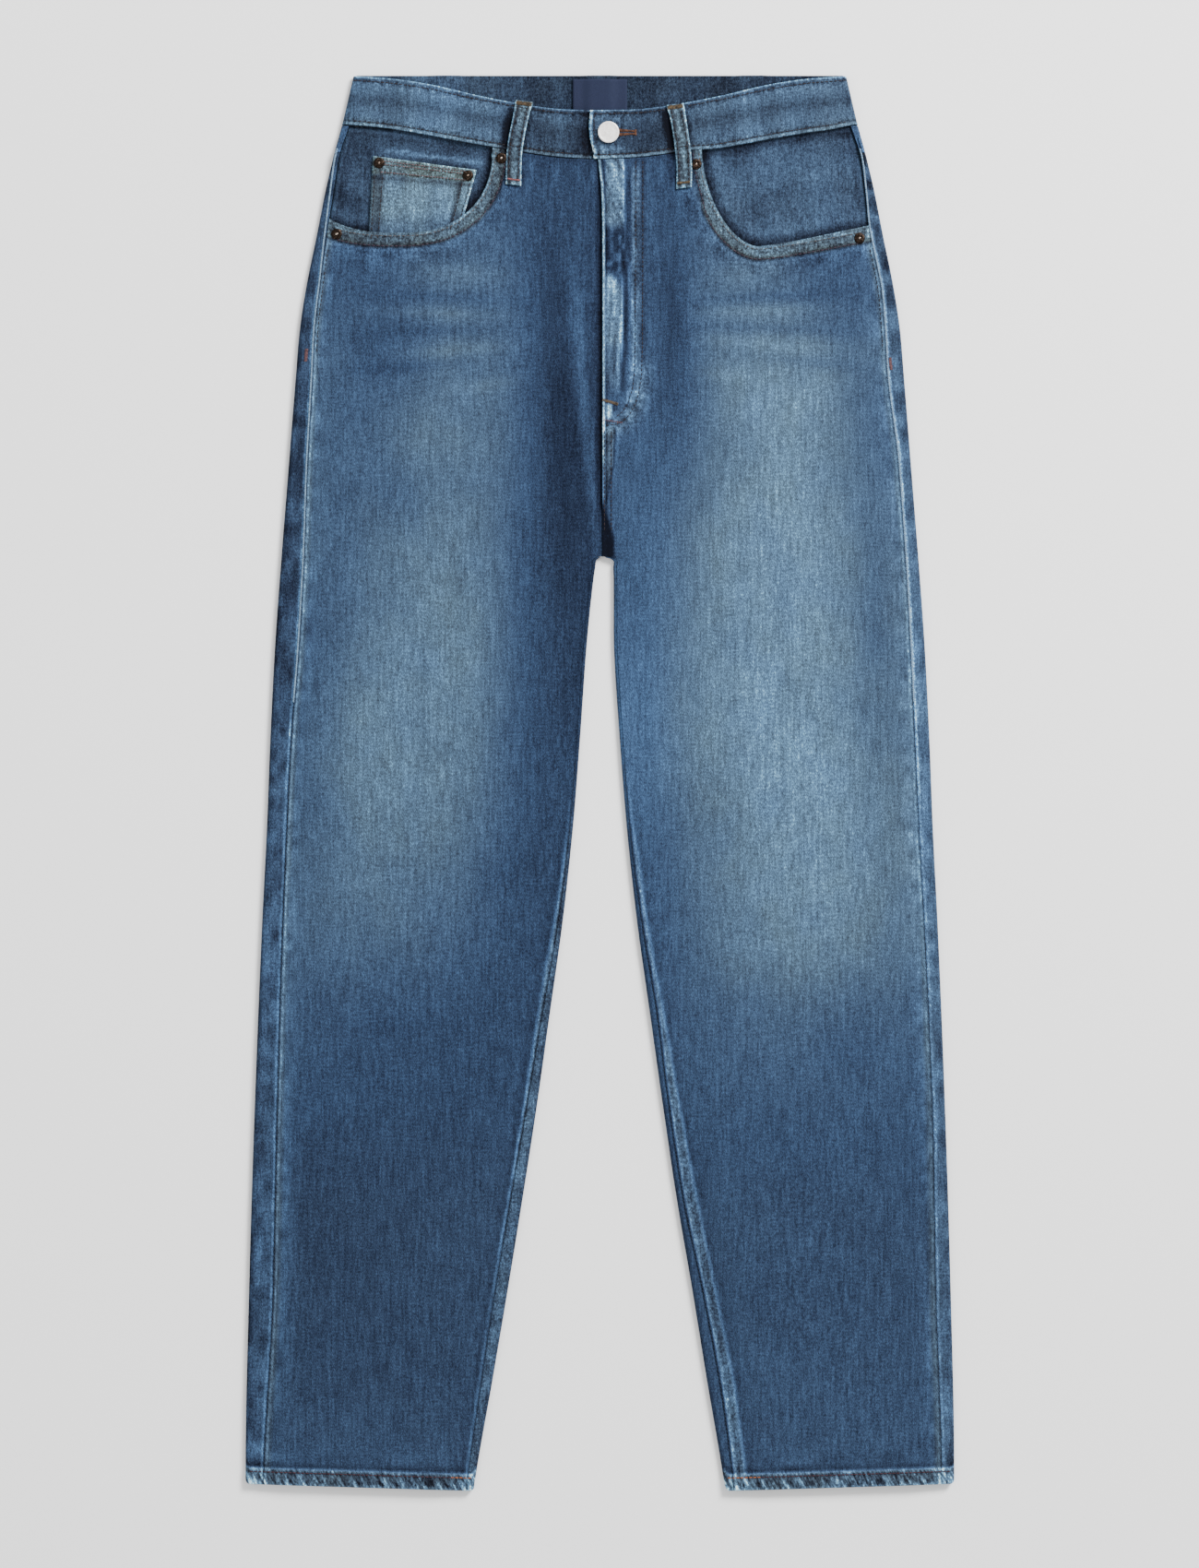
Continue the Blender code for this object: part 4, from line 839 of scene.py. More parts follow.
def front(side, name):
    x, y, fold_z = front_grid(side)
    z = np.where(np.isnan(fold_z), upper_z(side, x, y), fold_z)
    z = z - tuck_drop(side, x, y)
    sx = side * x
    tone, fade = wash_and_painted_light(side, sx, y)
    z, tone, fade, wear = mouth_look(side, z, tone, fade, x, y)
    # Side seam and inseam
    d, s = along_line(SIDE_SEAMS[side], sx, y)
    z, tone = sewn(z, tone, d, s, 0.42, seam_wear(y, *FRONT_SEAM_WEAR[side]), 0.20, 10.5, 1 + side)
    rope = 0.45 * bump_at(d, 0, 2.2)
    fade = np.maximum(fade, 0.42 * bump_at(d, 2.0, 3.5))
    d, s = along_line(INSEAMS[side], sx, y)
    strength = ease((60 - y) / 160)
    z = z + strength * (0.35 * bump_at(d, 0, 2.0) + 0.14 * wander(s, 12, 3) * bump_at(d, 5, 6))
    # A pale worn line beside the inseam, and painted shade along its gap
    tone = tone + strength * bumps(d, (0.12, 1.8, 0.9), (-0.14, 0, 1.0))
    z, tone, wear, paled = inseam_look(side, z, tone, wear, x, y, True)
    fade = np.maximum(fade, paled)
    if side == LEFT:
        z, tone, fade, wear = fly_look(z, tone, fade, wear, sx, y)
    else:
        # Painted shadow that the fly's edge casts on the right front beside it
        beside_fly = ease((y - 180) / 40)
        tone = tone - 0.16 * beside_fly * np.exp(-(((x + 1.0) / 3.4) ** 2))
    tone = tone - 0.18 * loop_shade(sx, y)
    # Just under the waistband: painted shade along the band's lower edge, then uneven tone and ripples a
    # little lower
    under = band_bottom(x) - y
    tone = tone - 0.06 * bump_at(under, 0, 4.0) + 0.06 * bump_at(under, 12, 8) * wander(x, 15, side)
    z = z + 0.3 * wander(x, 12, 5 + side) * bump_at(under, 5, 7)
    z, tone, in_hem = hem_look(z, tone, sx, y, 0.7 + side)
    wear = np.maximum(wear, 0.3 * in_hem)
    fade = np.maximum(fade, 0.5 * in_hem)
    return cloth(name, sx, y, z, DENIM, tone, fade, wear, np.maximum(rope, in_hem))


front_right = front(RIGHT, "front_right")
front_left = front(LEFT, "front_left")

# %% [markdown]
# The backs show only as a strip beside each seam, where they come round the folds, but they are
# whole pieces: they make the fold itself, lie flat on the floor, and carry the patch pockets.

# %% Grid of a back
YOKE_SIDE_Y, YOKE_CENTRE_Y, YOKE_HALF = 475.0, 432.0, 196.0


def yoke_seam_y(x):
    return YOKE_CENTRE_Y + (YOKE_SIDE_Y - YOKE_CENTRE_Y) * np.minimum(np.abs(x) / YOKE_HALF, 1.0)


def side_arcs(side, y):
    """Lengths along the cloth from the side seam, round the outer fold, to the flat back."""
    seam = float(fold_arc(seam_inset[side](y))) - SEAM_GAP / 2
    beside = seam - beside_seam[:7]
    strip = np.linspace(beside[-1], QUARTER, 11)[1:-1]
    return np.concatenate([beside, strip, np.linspace(QUARTER, -QUARTER, 9)])


def inner_arcs(side, y):
    seam = float(fold_arc(inseam_inset[side](y))) - SEAM_GAP / 2
    strip = QUARTER + (seam - QUARTER) * np.linspace(0, 1, 7)[1:]
    return np.concatenate([np.linspace(-QUARTER, QUARTER, 7), strip])


back_shares = np.linspace(0, 1, 34)[1:-1]
centre_places = np.linspace(10, SEAM_GAP / 2, 13)


def back_rows(side, ys, row_y):
    """The grid of a back piece. row_y gives each row's Y at distances from the centre line."""
    xs, y_all, zs = [], [], []
    for y in ys:
        at_side = float(row_y(y, 230.0))
        fold_x = float(outer_at(at_side))
        x_out, y_out, z_out = fold_rows(side, fold_x, -1, side_arcs(side, at_side), at_side)
        if at_side > CROTCH_Y:
            x_in = centre_places
            y_in = row_y(y, x_in)
            z_in = back_lift(side * x_in, y_in)
        else:
            x_in, y_in, z_in = fold_rows(side, float(inner_at[side](y)), 1, inner_arcs(side, y), y)
        x_flat = x_out[-1] + (x_in[0] - x_out[-1]) * back_shares
        y_flat = hem_shifted(row_y(y, x_flat), x_flat)
        z_flat = back_lift(side * x_flat, y_flat)
        xs.append(np.concatenate([x_out, x_flat, x_in]))
        y_all.append(np.concatenate([y_out, y_flat, y_in]))
        zs.append(np.concatenate([z_out, z_flat, z_in]))
    return np.array(xs), np.array(y_all), np.array(zs)


# %% The two backs and the yokes
def back_row_y(level, x):
    """Rows above the hip lean with the yoke seam, and the others are level."""
    x = np.asarray(x, float)
    if level <= HIP_ROW_Y:
        return np.full(x.shape, level)
    share = (level - HIP_ROW_Y) / 100
    return HIP_ROW_Y + (yoke_seam_y(x) - SEAM_GAP / 2 - HIP_ROW_Y) * share


# The tone of the strip beside each outer fold, at heights from the hem up. The left strip is
# paler than the right partly from the wash and partly as painted light, for more light falls on
# that side.
STRIP_Y = [-533, -350, -174, -35, 100, 277, 475]
STRIP_TONES = {
    RIGHT: [0.35, 0.33, 0.35, 0.33, 0.29, 0.26, 0.33],
    LEFT: [0.40, 0.40, 0.42, 0.46, 0.48, 0.42, 0.32],
}


def back(side, name):
    ys = np.concatenate([np.linspace(HIP_ROW_Y + 100, HIP_ROW_Y + 4, 26), leg_rows(52, 170)])
    x, y, z = back_rows(side, ys, back_row_y)
    sx = side * x
    upper = z > FOLD_RADIUS
    tone, fade = wash_and_painted_light(side, np.where(upper, sx, sx * 0.92), y)
    strip_tone = np.interp(y, STRIP_Y, STRIP_TONES[side])
    outer_strip = upper & (x > seam_x(side, y) - 1)
    tone = np.where(outer_strip, strip_tone, tone)
    fade = np.where(outer_strip, 0.12 if side == RIGHT else 0.22, fade)
    d, s = along_line(SIDE_SEAMS[side], sx, y)
    d = np.where(upper, d, 60)
    z = z + np.where(upper, 0.12 * wander(s, 10.5, 1 + side) * np.exp(-((d - 4) / 5) ** 2), 0)
    worn = seam_wear(y, *BACK_SEAM_WEAR[side])
    # Pale worn lines beside the seam, and a faint painted shade along its gap
    tone = tone + worn * bump_at(d, 1.7, 0.9) - 0.03 * bump_at(d, 0, 0.7)
    mottle = 0.11 + (0.10 * ease((y - 330) / 40) if side == LEFT else 0.0)
    tone += mottle * patchy(s, d, 9.0, 6.0, 8 + side) * ease(d / 3) * outer_strip
    tone += 0.26 * bump_at(y, 473, 7) * bump_at(d, 1.5, 4) * outer_strip
    rope = 0.45 * bump_at(d, 0, 2.2)
    tone_seam, wear_seam, paled = inseam_look(side, z, tone, 0.0 * tone, x, y, False)[1:]
    inner_strip = upper & (x < inner_at[side](y) + 20)
    tone = np.where(inner_strip, tone_seam, tone)
    fade = np.where(inner_strip, np.maximum(fade, paled), fade)
    edge = outer_at(y) - x
    # Painted shade on the outer fold's edge, where the cloth rounds down
    tone = tone - 0.07 * bump_at(edge, 0.0, 3.5) * upper
    z_hem, tone, in_hem = hem_look(z, tone, sx, y, 0.7 + side)
    z = np.where(upper & (z > 3.6), z_hem, z)
    wear = np.maximum(0.2 * outer_strip, np.maximum(wear_seam * inner_strip, 0.3 * in_hem))
    fade = np.maximum(fade, 0.5 * in_hem)
    return cloth(name, sx, y, z, DENIM, tone, fade, wear, np.maximum(rope, in_hem))


back_right = back(RIGHT, "back_right")
back_left = back(LEFT, "back_left")


def yoke_row_y(share, x):
    low = yoke_seam_y(x) + SEAM_GAP / 2
    return low + (BACK_BAND_BOTTOM - SEAM_GAP - low) * share


def yoke(side, name):
    x, y, z = back_rows(side, np.linspace(1, 0, 18), yoke_row_y)
    tone, fade = wash_and_painted_light(side, side * x, np.minimum(y, 470))
    upper = z > FOLD_RADIUS
    d = y - yoke_seam_y(x)
    tone = tone + 0.14 * bump_at(d, 1.0, 1.3) + 0.05 * upper
    z = z + upper * 0.2 * bump_at(d, 1.2, 1.6)
    return cloth(name, side * x, y, z, DENIM, tone, fade, 0.4)


yoke_right = yoke(RIGHT, "yoke_back_right")
yoke_left = yoke(LEFT, "yoke_back_left")

# %% [markdown]
# The waistband is one folded strip that goes right round. At the centre front its buttonhole
# end lies over its other end. It is cut on a curve, so its front dips and shows its inside.

# %% The waistband
BAND_END_X, UNDERLAP_X, LEFT_BAND_DROP = -7.3, 38.0, 2.6


def band_low(x):
    """The band's lower edge at signed X: it hangs a little lower over the left pocket."""
    return band_bottom(np.abs(x)) - LEFT_BAND_DROP * ease((x - 62) / 30) * ease((196 - x) / 30)


def band_crease(x, height):
    along = ease((x - 40) / 40) * ease((190 - x) / 40)
    return 0.55 * along * np.exp(-(((height - 0.54) / 0.13) ** 2))


def band_row(part, value, height):
    """X, Y and Z of the band's outer face at a place along it, over heights from 0 to 1."""
    if part in ("front", "underlap", "overlap"):
        distance = abs(value)
        low, high = float(band_low(value)), float(band_top(distance))
        y = low + (high - low) * height
        lean = outer_at(y) / float(outer_at(BACK_BAND_BOTTOM)) if distance > 60 else 1.0
        x = value * (1 + (lean - 1) * float(ease((distance - 60) / 80)))
        x = np.broadcast_to(x, height.shape)
        side = LEFT if value > 0 else RIGHT
        z = upper_z(side, np.abs(x), y, folded=False) + BAND_RISE - band_crease(distance, height)
        if part == "underlap":
            z = z - (BAND_THICK + SEAM_GAP) * float(ease((value + 17) / 9))
        return x, y, z
    if part == "back":
        y = BACK_BAND_BOTTOM + (BACK_TOP_Y - BACK_BAND_BOTTOM) * height
        x = value * (1 + (outer_at(y) / float(outer_at(BACK_BAND_BOTTOM)) - 1) * abs(value) / 190)
        return x, y, back_lift(value, y)
    turn = (90 - value) / 180
    low = float(band_bottom(190)) * (1 - turn) + BACK_BAND_BOTTOM * turn
    high = float(band_top(190)) * (1 - turn) + BACK_TOP_Y * turn
    y = low + (high - low) * height
    radius = FOLD_RADIUS + BAND_RISE / 2
    swing = math.radians(value)
    x = outer_at(y) - radius + radius * math.cos(swing)
    return part * x, y, np.full(height.shape, radius + radius * math.sin(swing))


band_heights = np.array([
    0, 0.02, 0.05, 0.09, 0.13, 0.2, 0.28, 0.36, 0.42, 0.48, 0.54, 0.6, 0.66, 0.74, 0.82, 0.88, 0.92,
    0.955, 0.98, 1.0,
])


# %% Cloth of the waistband
BAND_DEPTH = 37.5


def band_places():
    """The parts of the band in order round the waist, each with a place along it."""
    turn = [90, 70, 50, 25, 0, -25, -50, -70, -90]
    places = [("underlap", v) for v in np.arange(UNDERLAP_X, -18, -2.0)]
    places += [("front", -v) for v in np.arange(20, 181, 2.0)]
    places += [(RIGHT, v) for v in turn]
    places += [("back", v) for v in np.arange(-178, 179, 4.0)]
    places += [(LEFT, v) for v in reversed(turn)]
    places += [("front", v) for v in np.arange(180, 19, -2.0)]
    return places + [("overlap", v) for v in [*np.arange(18, BAND_END_X + 1, -1.2), BAND_END_X]]


def band_tone(x, y, s, level, shown, under, overlap):
    """Tone of the band: worn pale along both edges and at its end, with painted shade on its inside at the
    back and on the underlap beside the end that lies over it.
    """
    beside_fly = ease((np.abs(x) - 30) / 40)
    tone = np.full(x.shape, 0.275) + 0.04 * wander(s, 46, 1) + 0.12 * ease((-x - 30) / 90)
    # The front pales a little towards the left leg, and the inside of the back is painted in shade
    tone += shown * 0.07 * ease((x - 40) / 60) - 0.06 * (1 - shown)
    tone -= shown * 0.05 * bump_at(level, 20, 2.6) * ease((np.abs(x) - 44) / 40)
    # Painted shadow on the underlap beside the end that lies over it
    tone -= under * 0.20 * bump_at(s, BAND_END_X - 2, 5.5)
    tone -= shown * (0.04 * ease((-x - 120) / 40) + bumps(x, (0.06, 40, 18), (0.03, -40, 18)))
    tone -= shown * 0.36 * loop_shade(x, y)
    tone += 0.06 * bump_at(level, 10, 6) * beside_fly + shown * 0.07 * bump_at(level, 29, 5)
    low_rim = 0.22 + 0.22 * bump_at(x, 20, 44)
    rims = bumps(level, (0.36, BAND_DEPTH, 1.0), (low_rim, 1.2, 1.2))
    tone += shown * rims * (0.85 + 0.25 * wander(s, 8, 3))
    tone -= shown * bumps(level, (0.10, -0.4, 0.7), (0.10, 3.3, 0.8), (0.10, 34.8, 0.8))
    inside_rows = bumps(level, (0.07, 6, 2.4), (0.07, 31, 2.4))
    tone += shown * inside_rows * (0.4 + wander(s, 6.5, 5))
    # The end with the buttonhole
    tone += overlap * bumps(s - BAND_END_X, (0.44, 0, 2.1), (-0.14, 4.0, 1.0))
    tone += overlap * bump_at(level, 7, 4) * (0.16 + 0.12 * wander(s, 7, 3))
    return tone + overlap * 0.10 * bump_at(level, 31, 3) * ease(wander(s, 9, 1))


def waistband(name):
    places = band_places()
    rows = [band_row(part, value, band_heights) for part, value in places]
    x, y, z = (np.array([row[k] for row in rows]) for k in range(3))

    def on(name):
        return np.array([place[0] == name for place in places])[:, None]

    under, overlap, shown = on("underlap"), on("overlap"), 1 - on("back")
    height = np.broadcast_to(band_heights, x.shape)
    level = height * BAND_DEPTH
    s = np.array([place[1] for place in places], float)[:, None] * np.ones(x.shape)
    # The end with the buttonhole leans out at its foot
    lean = 2.6 * ease((0.46 - height) / 0.4) - 0.9 * bump_at(height, 0.66, 0.2)
    x = x + overlap * lean * ease((10 - x) / 16)
    z = z - shown * bumps(level, (0.20, 3.2, 0.9), (0.20, 34.9, 0.9))
    z += shown * wander(s, 9.5, 2) * bumps(level, (0.16, 3, 5), (0.16, 34, 5))
    tone = band_tone(x, y, s, level, shown, under, overlap)
    wear = 0.25 + shown * bumps(level, (0.55, 3, 3), (0.55, 34, 3)) + 0.3 * overlap
    fade = 0.30 + 0.25 * shown * bump_at(level, 1.5, 3)
    return cloth(name, x, y, z, BAND_THICK, tone, fade, np.clip(wear, 0, 1))


waist = waistband("waistband_cloth")

# %% [markdown]
# Inside each pocket mouth shows a facing, a piece of the same denim that lies a few layers
# down. The right one carries the small coin pocket. Both are worn paler than the hollows round
# them, which are painted in shade, and the coin pocket palest of all, because keys and coins rub
# it from inside.

# %% Pocket facings
FACING_DROP, FACING_TUCK, COIN_DROP = 1.8, 9.0, 0.9


def facing_z(side, x, y):
    """Height of a facing, which dips further under the coin pocket."""
    drop = FACING_DROP
    if side == RIGHT:
        across = outside(x, 100.0, 168.0)
        drop = drop + COIN_DROP * (1 - ease((across - 12) / 14)) * ease((488 - y) / 8)
    return upper_z(side, x, y) - drop


def facing(side, name):
    mouth = MOUTHS[side]
    low = mouth._replace(waist_x=mouth.waist_x - FACING_TUCK, low_y=mouth.low_y - FACING_TUCK,
                         side_y=mouth.side_y - FACING_TUCK)
    shares = np.concatenate([[0, 0.003, 0.01, 0.022, 0.04], np.linspace(0.06, 1, 52)])
    side_x = float(seam_x(side, low.side_y))
    height = np.linspace(0, 1, 34)[:, None]
    x = low.waist_x + (side_x - low.waist_x) * shares
    tuck = 6.5 * (1 - ease((x - 140) / 30)) - 1.5
    top = band_bottom(x) + tuck
    y = top + (mouth_y(low, x) - top) * height
    lean = seam_x(side, y) - SEAM_GAP / 2 - side_x
    x = x + lean * ease((shares - 0.42) / 0.58)
    z = facing_z(side, x, y)
    sx = side * x
    d = along_line(MOUTH_LINES[side], sx, y)[0]
    inside = (y > mouth_y(mouth, x)) & (x > mouth.waist_x)
    d = np.where(inside, d, 0)
    z = z + 0.35 * wander(x + 0.5 * y, 34, 2 + side) * ease(d / 10) * ease((band_bottom(x) - 4 - y) / 8)
    # A painted shadow inside the mouth, cast by the front's hem
    tone = np.full(x.shape, 0.30 if side == RIGHT else 0.365) - 0.20 * np.exp(-((d / 5.0) ** 2))
    tone += 0.06 * bump_at(d, 10, 4) - 0.05 * bump_at(x, 112, 14)
    tone -= (0.03 if side == RIGHT else 0.05) * ease((x - 165) / 20)
    tone += 0.05 * patchy(x + 0.5 * y, y - 0.5 * x, 26, 15, 1 + side)
    # Painted shade a few millimetres under the waistband; on the right a pale line lies just above it
    under = band_bottom(x) - y
    if side == LEFT:
        tone -= 0.16 * bump_at(under, 5.5, 3.5)
    else:
        tone += bumps(under, (0.05, 2.5, 1.6), (-0.06, 6.0, 2.0))
        above_coin = y - (473.5 - 0.14 * (174 - x))
        tone += 0.26 * bump_at(above_coin, 5.5, 1.8) * ease((172 - x) / 20) * ease((x - 84) / 12)
    tone += bumps(seam_x(side, y) - x, (0.10, 1.0, 1.4), (-0.07, 4.5, 2.0))
    return cloth(name, sx, y, z, THIN_DENIM, tone, np.full(x.shape, 0.25), 0.25)


facing_right = facing(RIGHT, "facing_right")
facing_left = facing(LEFT, "facing_left")

# %% Coin pocket
COIN_TOP = np.array([(-171.0, 472.5), (-92.8, 461.8)])
COIN_LOW = np.array([(-174.6, 407.5), (-105.6, 416.6)])
COIN_WIDTH, COIN_HEIGHT = 78.0, 55.0


def coin_point(along, down):
    """X and Y at shares of the pocket's width from its outer side and of its height from the top."""
    upper, lower = ((1 - along) * edge[0] + along * edge[1] for edge in (COIN_TOP, COIN_LOW))
    return (1 - down) * upper + down * lower


def coin_pocket(name):
    side_columns = np.linspace(0, 0.14, 9)
    alongs = np.concatenate([side_columns, np.linspace(0.17, 0.83, 20), 0.86 + side_columns])
    downs = np.concatenate([np.linspace(0, 0.3, 15), np.linspace(0.34, 1, 17)])
    grid = np.array([[coin_point(a, d) for a in alongs] for d in downs])
    x, y = grid[..., 0], grid[..., 1]
    a, d = np.meshgrid(alongs, downs)
    z = facing_z(RIGHT, -x, y) + SEAM_GAP + THIN_DENIM
    from_top, left, right = d * COIN_HEIGHT, a * COIN_WIDTH, (1 - a) * COIN_WIDTH
    from_side = np.minimum(left, right)
    hem = ease((12 - from_top) / 1.2)
    body = 1 - hem
    z = z + 0.45 * hem - bumps(from_top, (0.2, 1.9, 0.9), (0.2, 10.4, 0.9))
    z += body * 0.22 * ease((8 - from_side) / 1.5)
    z += body * 0.3 * bump_at(a, 0.5, 0.32) * bump_at(d, 0.6, 0.3)
    z += 0.14 * wander(x, 8.5, 2) * bump_at(from_top, 3, 5) - 0.25 * bump_at(from_side, 0, 0.8)
    tone = np.full(x.shape, 0.535) + 0.05 * wander(x, 24, 3) + 0.18 * bump_at(from_side, 0, 1.1)
    # A pale worn top edge, and a painted shadow just under the hem
    tone += bumps(from_top, (0.20, 0, 1.1), (-0.17, 13.6, 1.9)) - hem * (0.14 - 0.10 * a)
    tone -= 0.05 * body * (2 * np.abs(a - 0.5)) ** 2
    tone -= body * (0.13 * ease((8.6 - left) / 1.5) + 0.12 * bump_at(left, 8.4, 1.3))
    tone += body * 0.06 * ease((8.4 - right) / 1.5)
    tone += body * bumps(right, (-0.17, 9.4, 1.4), (0.07, 12.0, 1.2), (-0.08, 2.6, 0.9))
    # Painted shade in the lower inner corner, beside the mouth's edge
    tone -= 0.12 * body * bump_at(right, 5, 7) * ease((d - 0.6) / 0.2)
    tone -= 0.10 * ease((d - 0.65) / 0.25)
    fade = 0.62 - 0.20 * ease((d - 0.6) / 0.3) + 0.30 * hem
    return cloth(name, x, y, z, THIN_DENIM, tone, fade, 0.35 + 0.6 * hem)


coin = coin_pocket("coin_pocket_cloth")

# %% [markdown]
# A belt loop is a strip of denim folded so that two raised edges run down it, each with its row
# of thread. It is tacked at both ends and stands a little proud of the waistband between them.

# %% Belt loops
LOOP_WIDTH = 11.6
half_width = [0.1, 0.22, 0.31, 0.38, 0.44, 0.485, 0.5]
loop_columns = LOOP_WIDTH * np.array([*[-v for v in reversed(half_width)], 0, *half_width])


def loop_frame(name):
    """A belt loop's top, its length, and the directions down it and across it."""
    top, bottom = (np.array(end) for end in FRONT_LOOPS[name])
    length = float(np.linalg.norm(bottom - top))
    down = (bottom - top) / length
    return top, length, down, np.array([-down[1], down[0]])


def front_loop(name):
    top, length, along, across = loop_frame(name)
    side = np.sign(top[0])
    shares = np.concatenate([np.linspace(0, 0.06, 4), np.linspace(0.09, 0.92, 30), np.linspace(0.95, 1, 4)])
    share, offset = np.meshgrid(shares, loop_columns, indexing="ij")
    offset = offset * (1 + 0.10 * bump_at(share, 0, 0.14))
    x = top[0] + along[0] * length * share + across[0] * offset
    y = top[1] + along[1] * length * share + across[1] * offset
    x = x + loop_bow(side, share) + 0.2 * np.sin(share * 9 + side)
    on_band = ease((y - band_bottom(np.abs(x)) + 9) / 8)
    aside, down = np.abs(offset), share * length
    z = upper_z(side, np.abs(x), y, folded=False) + BAND_RISE * on_band + SEAM_GAP + LOOP_THICK
    z = z + np.sin(np.pi * np.minimum(share / 0.8, 1)) ** 2 - 0.12 * bump_at(offset, 0, 1.4)
    z += bumps(aside, (-0.28, 6.0, 0.5), (0.28, 3.9, 1.5))
    z += 0.1 * wander(down, 8.0, side) * bump_at(aside, 4, 2)
    tone = 0.35 + bumps(aside, (0.32, 5.6, 0.8), (-0.13, 3.4, 1.4))
    tone += (0.13 + 0.10 * patchy(offset, down, 2.4, 7.0, side)) * bump_at(offset, 0, 1.9)
    tone += 0.07 * wander(down, 9, 2) * bump_at(aside, 4, 2)
    tone += 0.05 * ease(offset * across[0] / 4) + bumps(down, (0.2, length, 1.4), (0.10, 5, 2))
    fade = 0.62 + 0.1 * bump_at(down, 0, 6)
    return cloth(name + "_cloth", x, y, z, LOOP_THICK, tone, fade, 0.95)


loops = {name: front_loop(name) for name in FRONT_LOOPS}

# %% [markdown]
# Inside the back of the waistband sits a small plain patch of woven navy cloth, which waves a
# little between its sewn sides.

# %% Waist label
def waist_label(name):
    x, y = np.meshgrid(np.linspace(-20.5, 20.5, 30), np.linspace(530.6, 505.4, 18))
    z = back_lift(x, y) + BAND_THICK + SEAM_GAP + THIN_DENIM
    z = z + 0.12 * np.sin(x / 5.0) * ease((20 - np.abs(x)) / 6)
    return cloth(name, x, y, z, THIN_DENIM, np.full(x.shape, 0.2), np.zeros(x.shape), 0.0)


label = waist_label("label_cloth")

# %% [markdown]
# ## Camera, light and floor
# The photograph looks straight down on the garment with a long lens, so the camera hangs well
# above it. A broad soft light to one side of the lens lets the low folds show, a weak one stands
# across from it, and a white world fills the rest.

# %% Camera
FRAME_HEIGHT = 1700
MM_PER_PIXEL = 0.695
LENS_LEVEL = 0.005
camera_height = 3.6
camera_data = bpy.data.cameras.new("camera")
camera = bpy.data.objects.new("camera", camera_data)
bpy.context.scene.collection.objects.link(camera)
camera_data.sensor_fit = "VERTICAL"
camera_data.sensor_height = 36.0
camera_data.lens = 36.0 * (camera_height - LENS_LEVEL) / (FRAME_HEIGHT * MM_PER_PIXEL * MM)
camera.location = (-0.0003, -0.0007, camera_height)
bpy.context.scene.camera = camera
print("lens, mm:", round(camera_data.lens, 1))


# %% Floor and lights
def add_light(name, place, size, power):
    data = bpy.data.lights.new(name, "AREA")
    data.shape = "SQUARE"
    data.size = size
    data.energy = power
    light = bpy.data.objects.new(name, data)
    bpy.context.scene.collection.objects.link(light)
    light.location = place
    light.rotation_euler = (Vector((0, 0, 0)) - Vector(place)).to_track_quat("-Z", "Y").to_euler()
    return light


add_light("soft light", (2.4, 2.8, 2.6), 1.6, 495)
add_light("fill light", (-2.4, -1.0, 3.0), 2.4, 31)
world = bpy.data.worlds.new("studio")
bpy.context.scene.world = world
world.use_nodes = True
world.node_tree.nodes["Background"].inputs["Color"].default_value = (1, 1, 1, 1)
world.node_tree.nodes["Background"].inputs["Strength"].default_value = 0.9
deselect_all()
bpy.ops.mesh.primitive_plane_add(size=9, location=(0, 0, -0.0004))
floor = bpy.context.object
floor.name = "floor"

# %% [markdown]
# ## Denim
# Denim is a twill of blue warp over white weft. Up close it shows upright slubs where the warp
# thread swells, short pale flecks where the weft peeps through, and a slanting rib. The tone
# value picks a colour from a ramp, and these patterns push it up and down before that.

# %% Material helpers
def new_material(name, roughness, **sockets):
    material = bpy.data.materials.new(name)
    material.use_nodes = True
    shader = material.node_tree.nodes["Principled BSDF"]
    shader.inputs["Roughness"].default_value = roughness
    for socket, value in sockets.items():
        shader.inputs[socket.replace("_", " ")].default_value = value
    return material, material.node_tree, shader


def add_node(tree, kind, **inputs):
    node = tree.nodes.new(kind)
    for socket, value in inputs.items():
        node.inputs[socket.replace("_", " ")].default_value = value
    return node


def math_node(tree, operation, first, second):
    """A Math node on two links or numbers."""
    node = tree.nodes.new("ShaderNodeMath")
    node.operation = operation
    for k, value in enumerate((first, second)):
        if isinstance(value, (int, float)):
            node.inputs[k].default_value = value
        else:
            tree.links.new(value, node.inputs[k])
    return node.outputs[0]


def noise_node(tree, coordinates, scale, detail=2.0, roughness=0.5, lean=0.0):
    """Noise on object coordinates, with its grain in millimetres along X, Y and Z. A lean turns
    the grain that many degrees about Z first."""
    if lean:
        leaned = tree.nodes.new("ShaderNodeMapping")
        leaned.inputs["Rotation"].default_value = (0.0, 0.0, math.radians(-lean))
        tree.links.new(coordinates, leaned.inputs["Vector"])
        coordinates = leaned.outputs["Vector"]
    mapping = tree.nodes.new("ShaderNodeMapping")
    mapping.inputs["Scale"].default_value = [1000.0 / grain for grain in scale]
    tree.links.new(coordinates, mapping.inputs["Vector"])
    noise = add_node(tree, "ShaderNodeTexNoise", Scale=1.0, Detail=detail, Roughness=roughness)
    tree.links.new(mapping.outputs["Vector"], noise.inputs["Vector"])
    return noise.outputs["Fac"]


def attribute(tree, name):
    node = tree.nodes.new("ShaderNodeAttribute")
    node.attribute_name = name
    return node.outputs["Fac"]


def ramp_node(tree, value, stops):
    """The colour that a value picks from stops, each a position and its red, green and blue."""
    ramp = tree.nodes.new("ShaderNodeValToRGB")
    elements = ramp.color_ramp.elements
    for k in (0, -1):
        elements[k].position = stops[k][0]
        elements[k].color = (*stops[k][1], 1)
    for position, color in stops[1:-1]:
        elements.new(position).color = (*color, 1)
    tree.links.new(value, ramp.inputs["Fac"])
    return ramp.outputs["Color"]


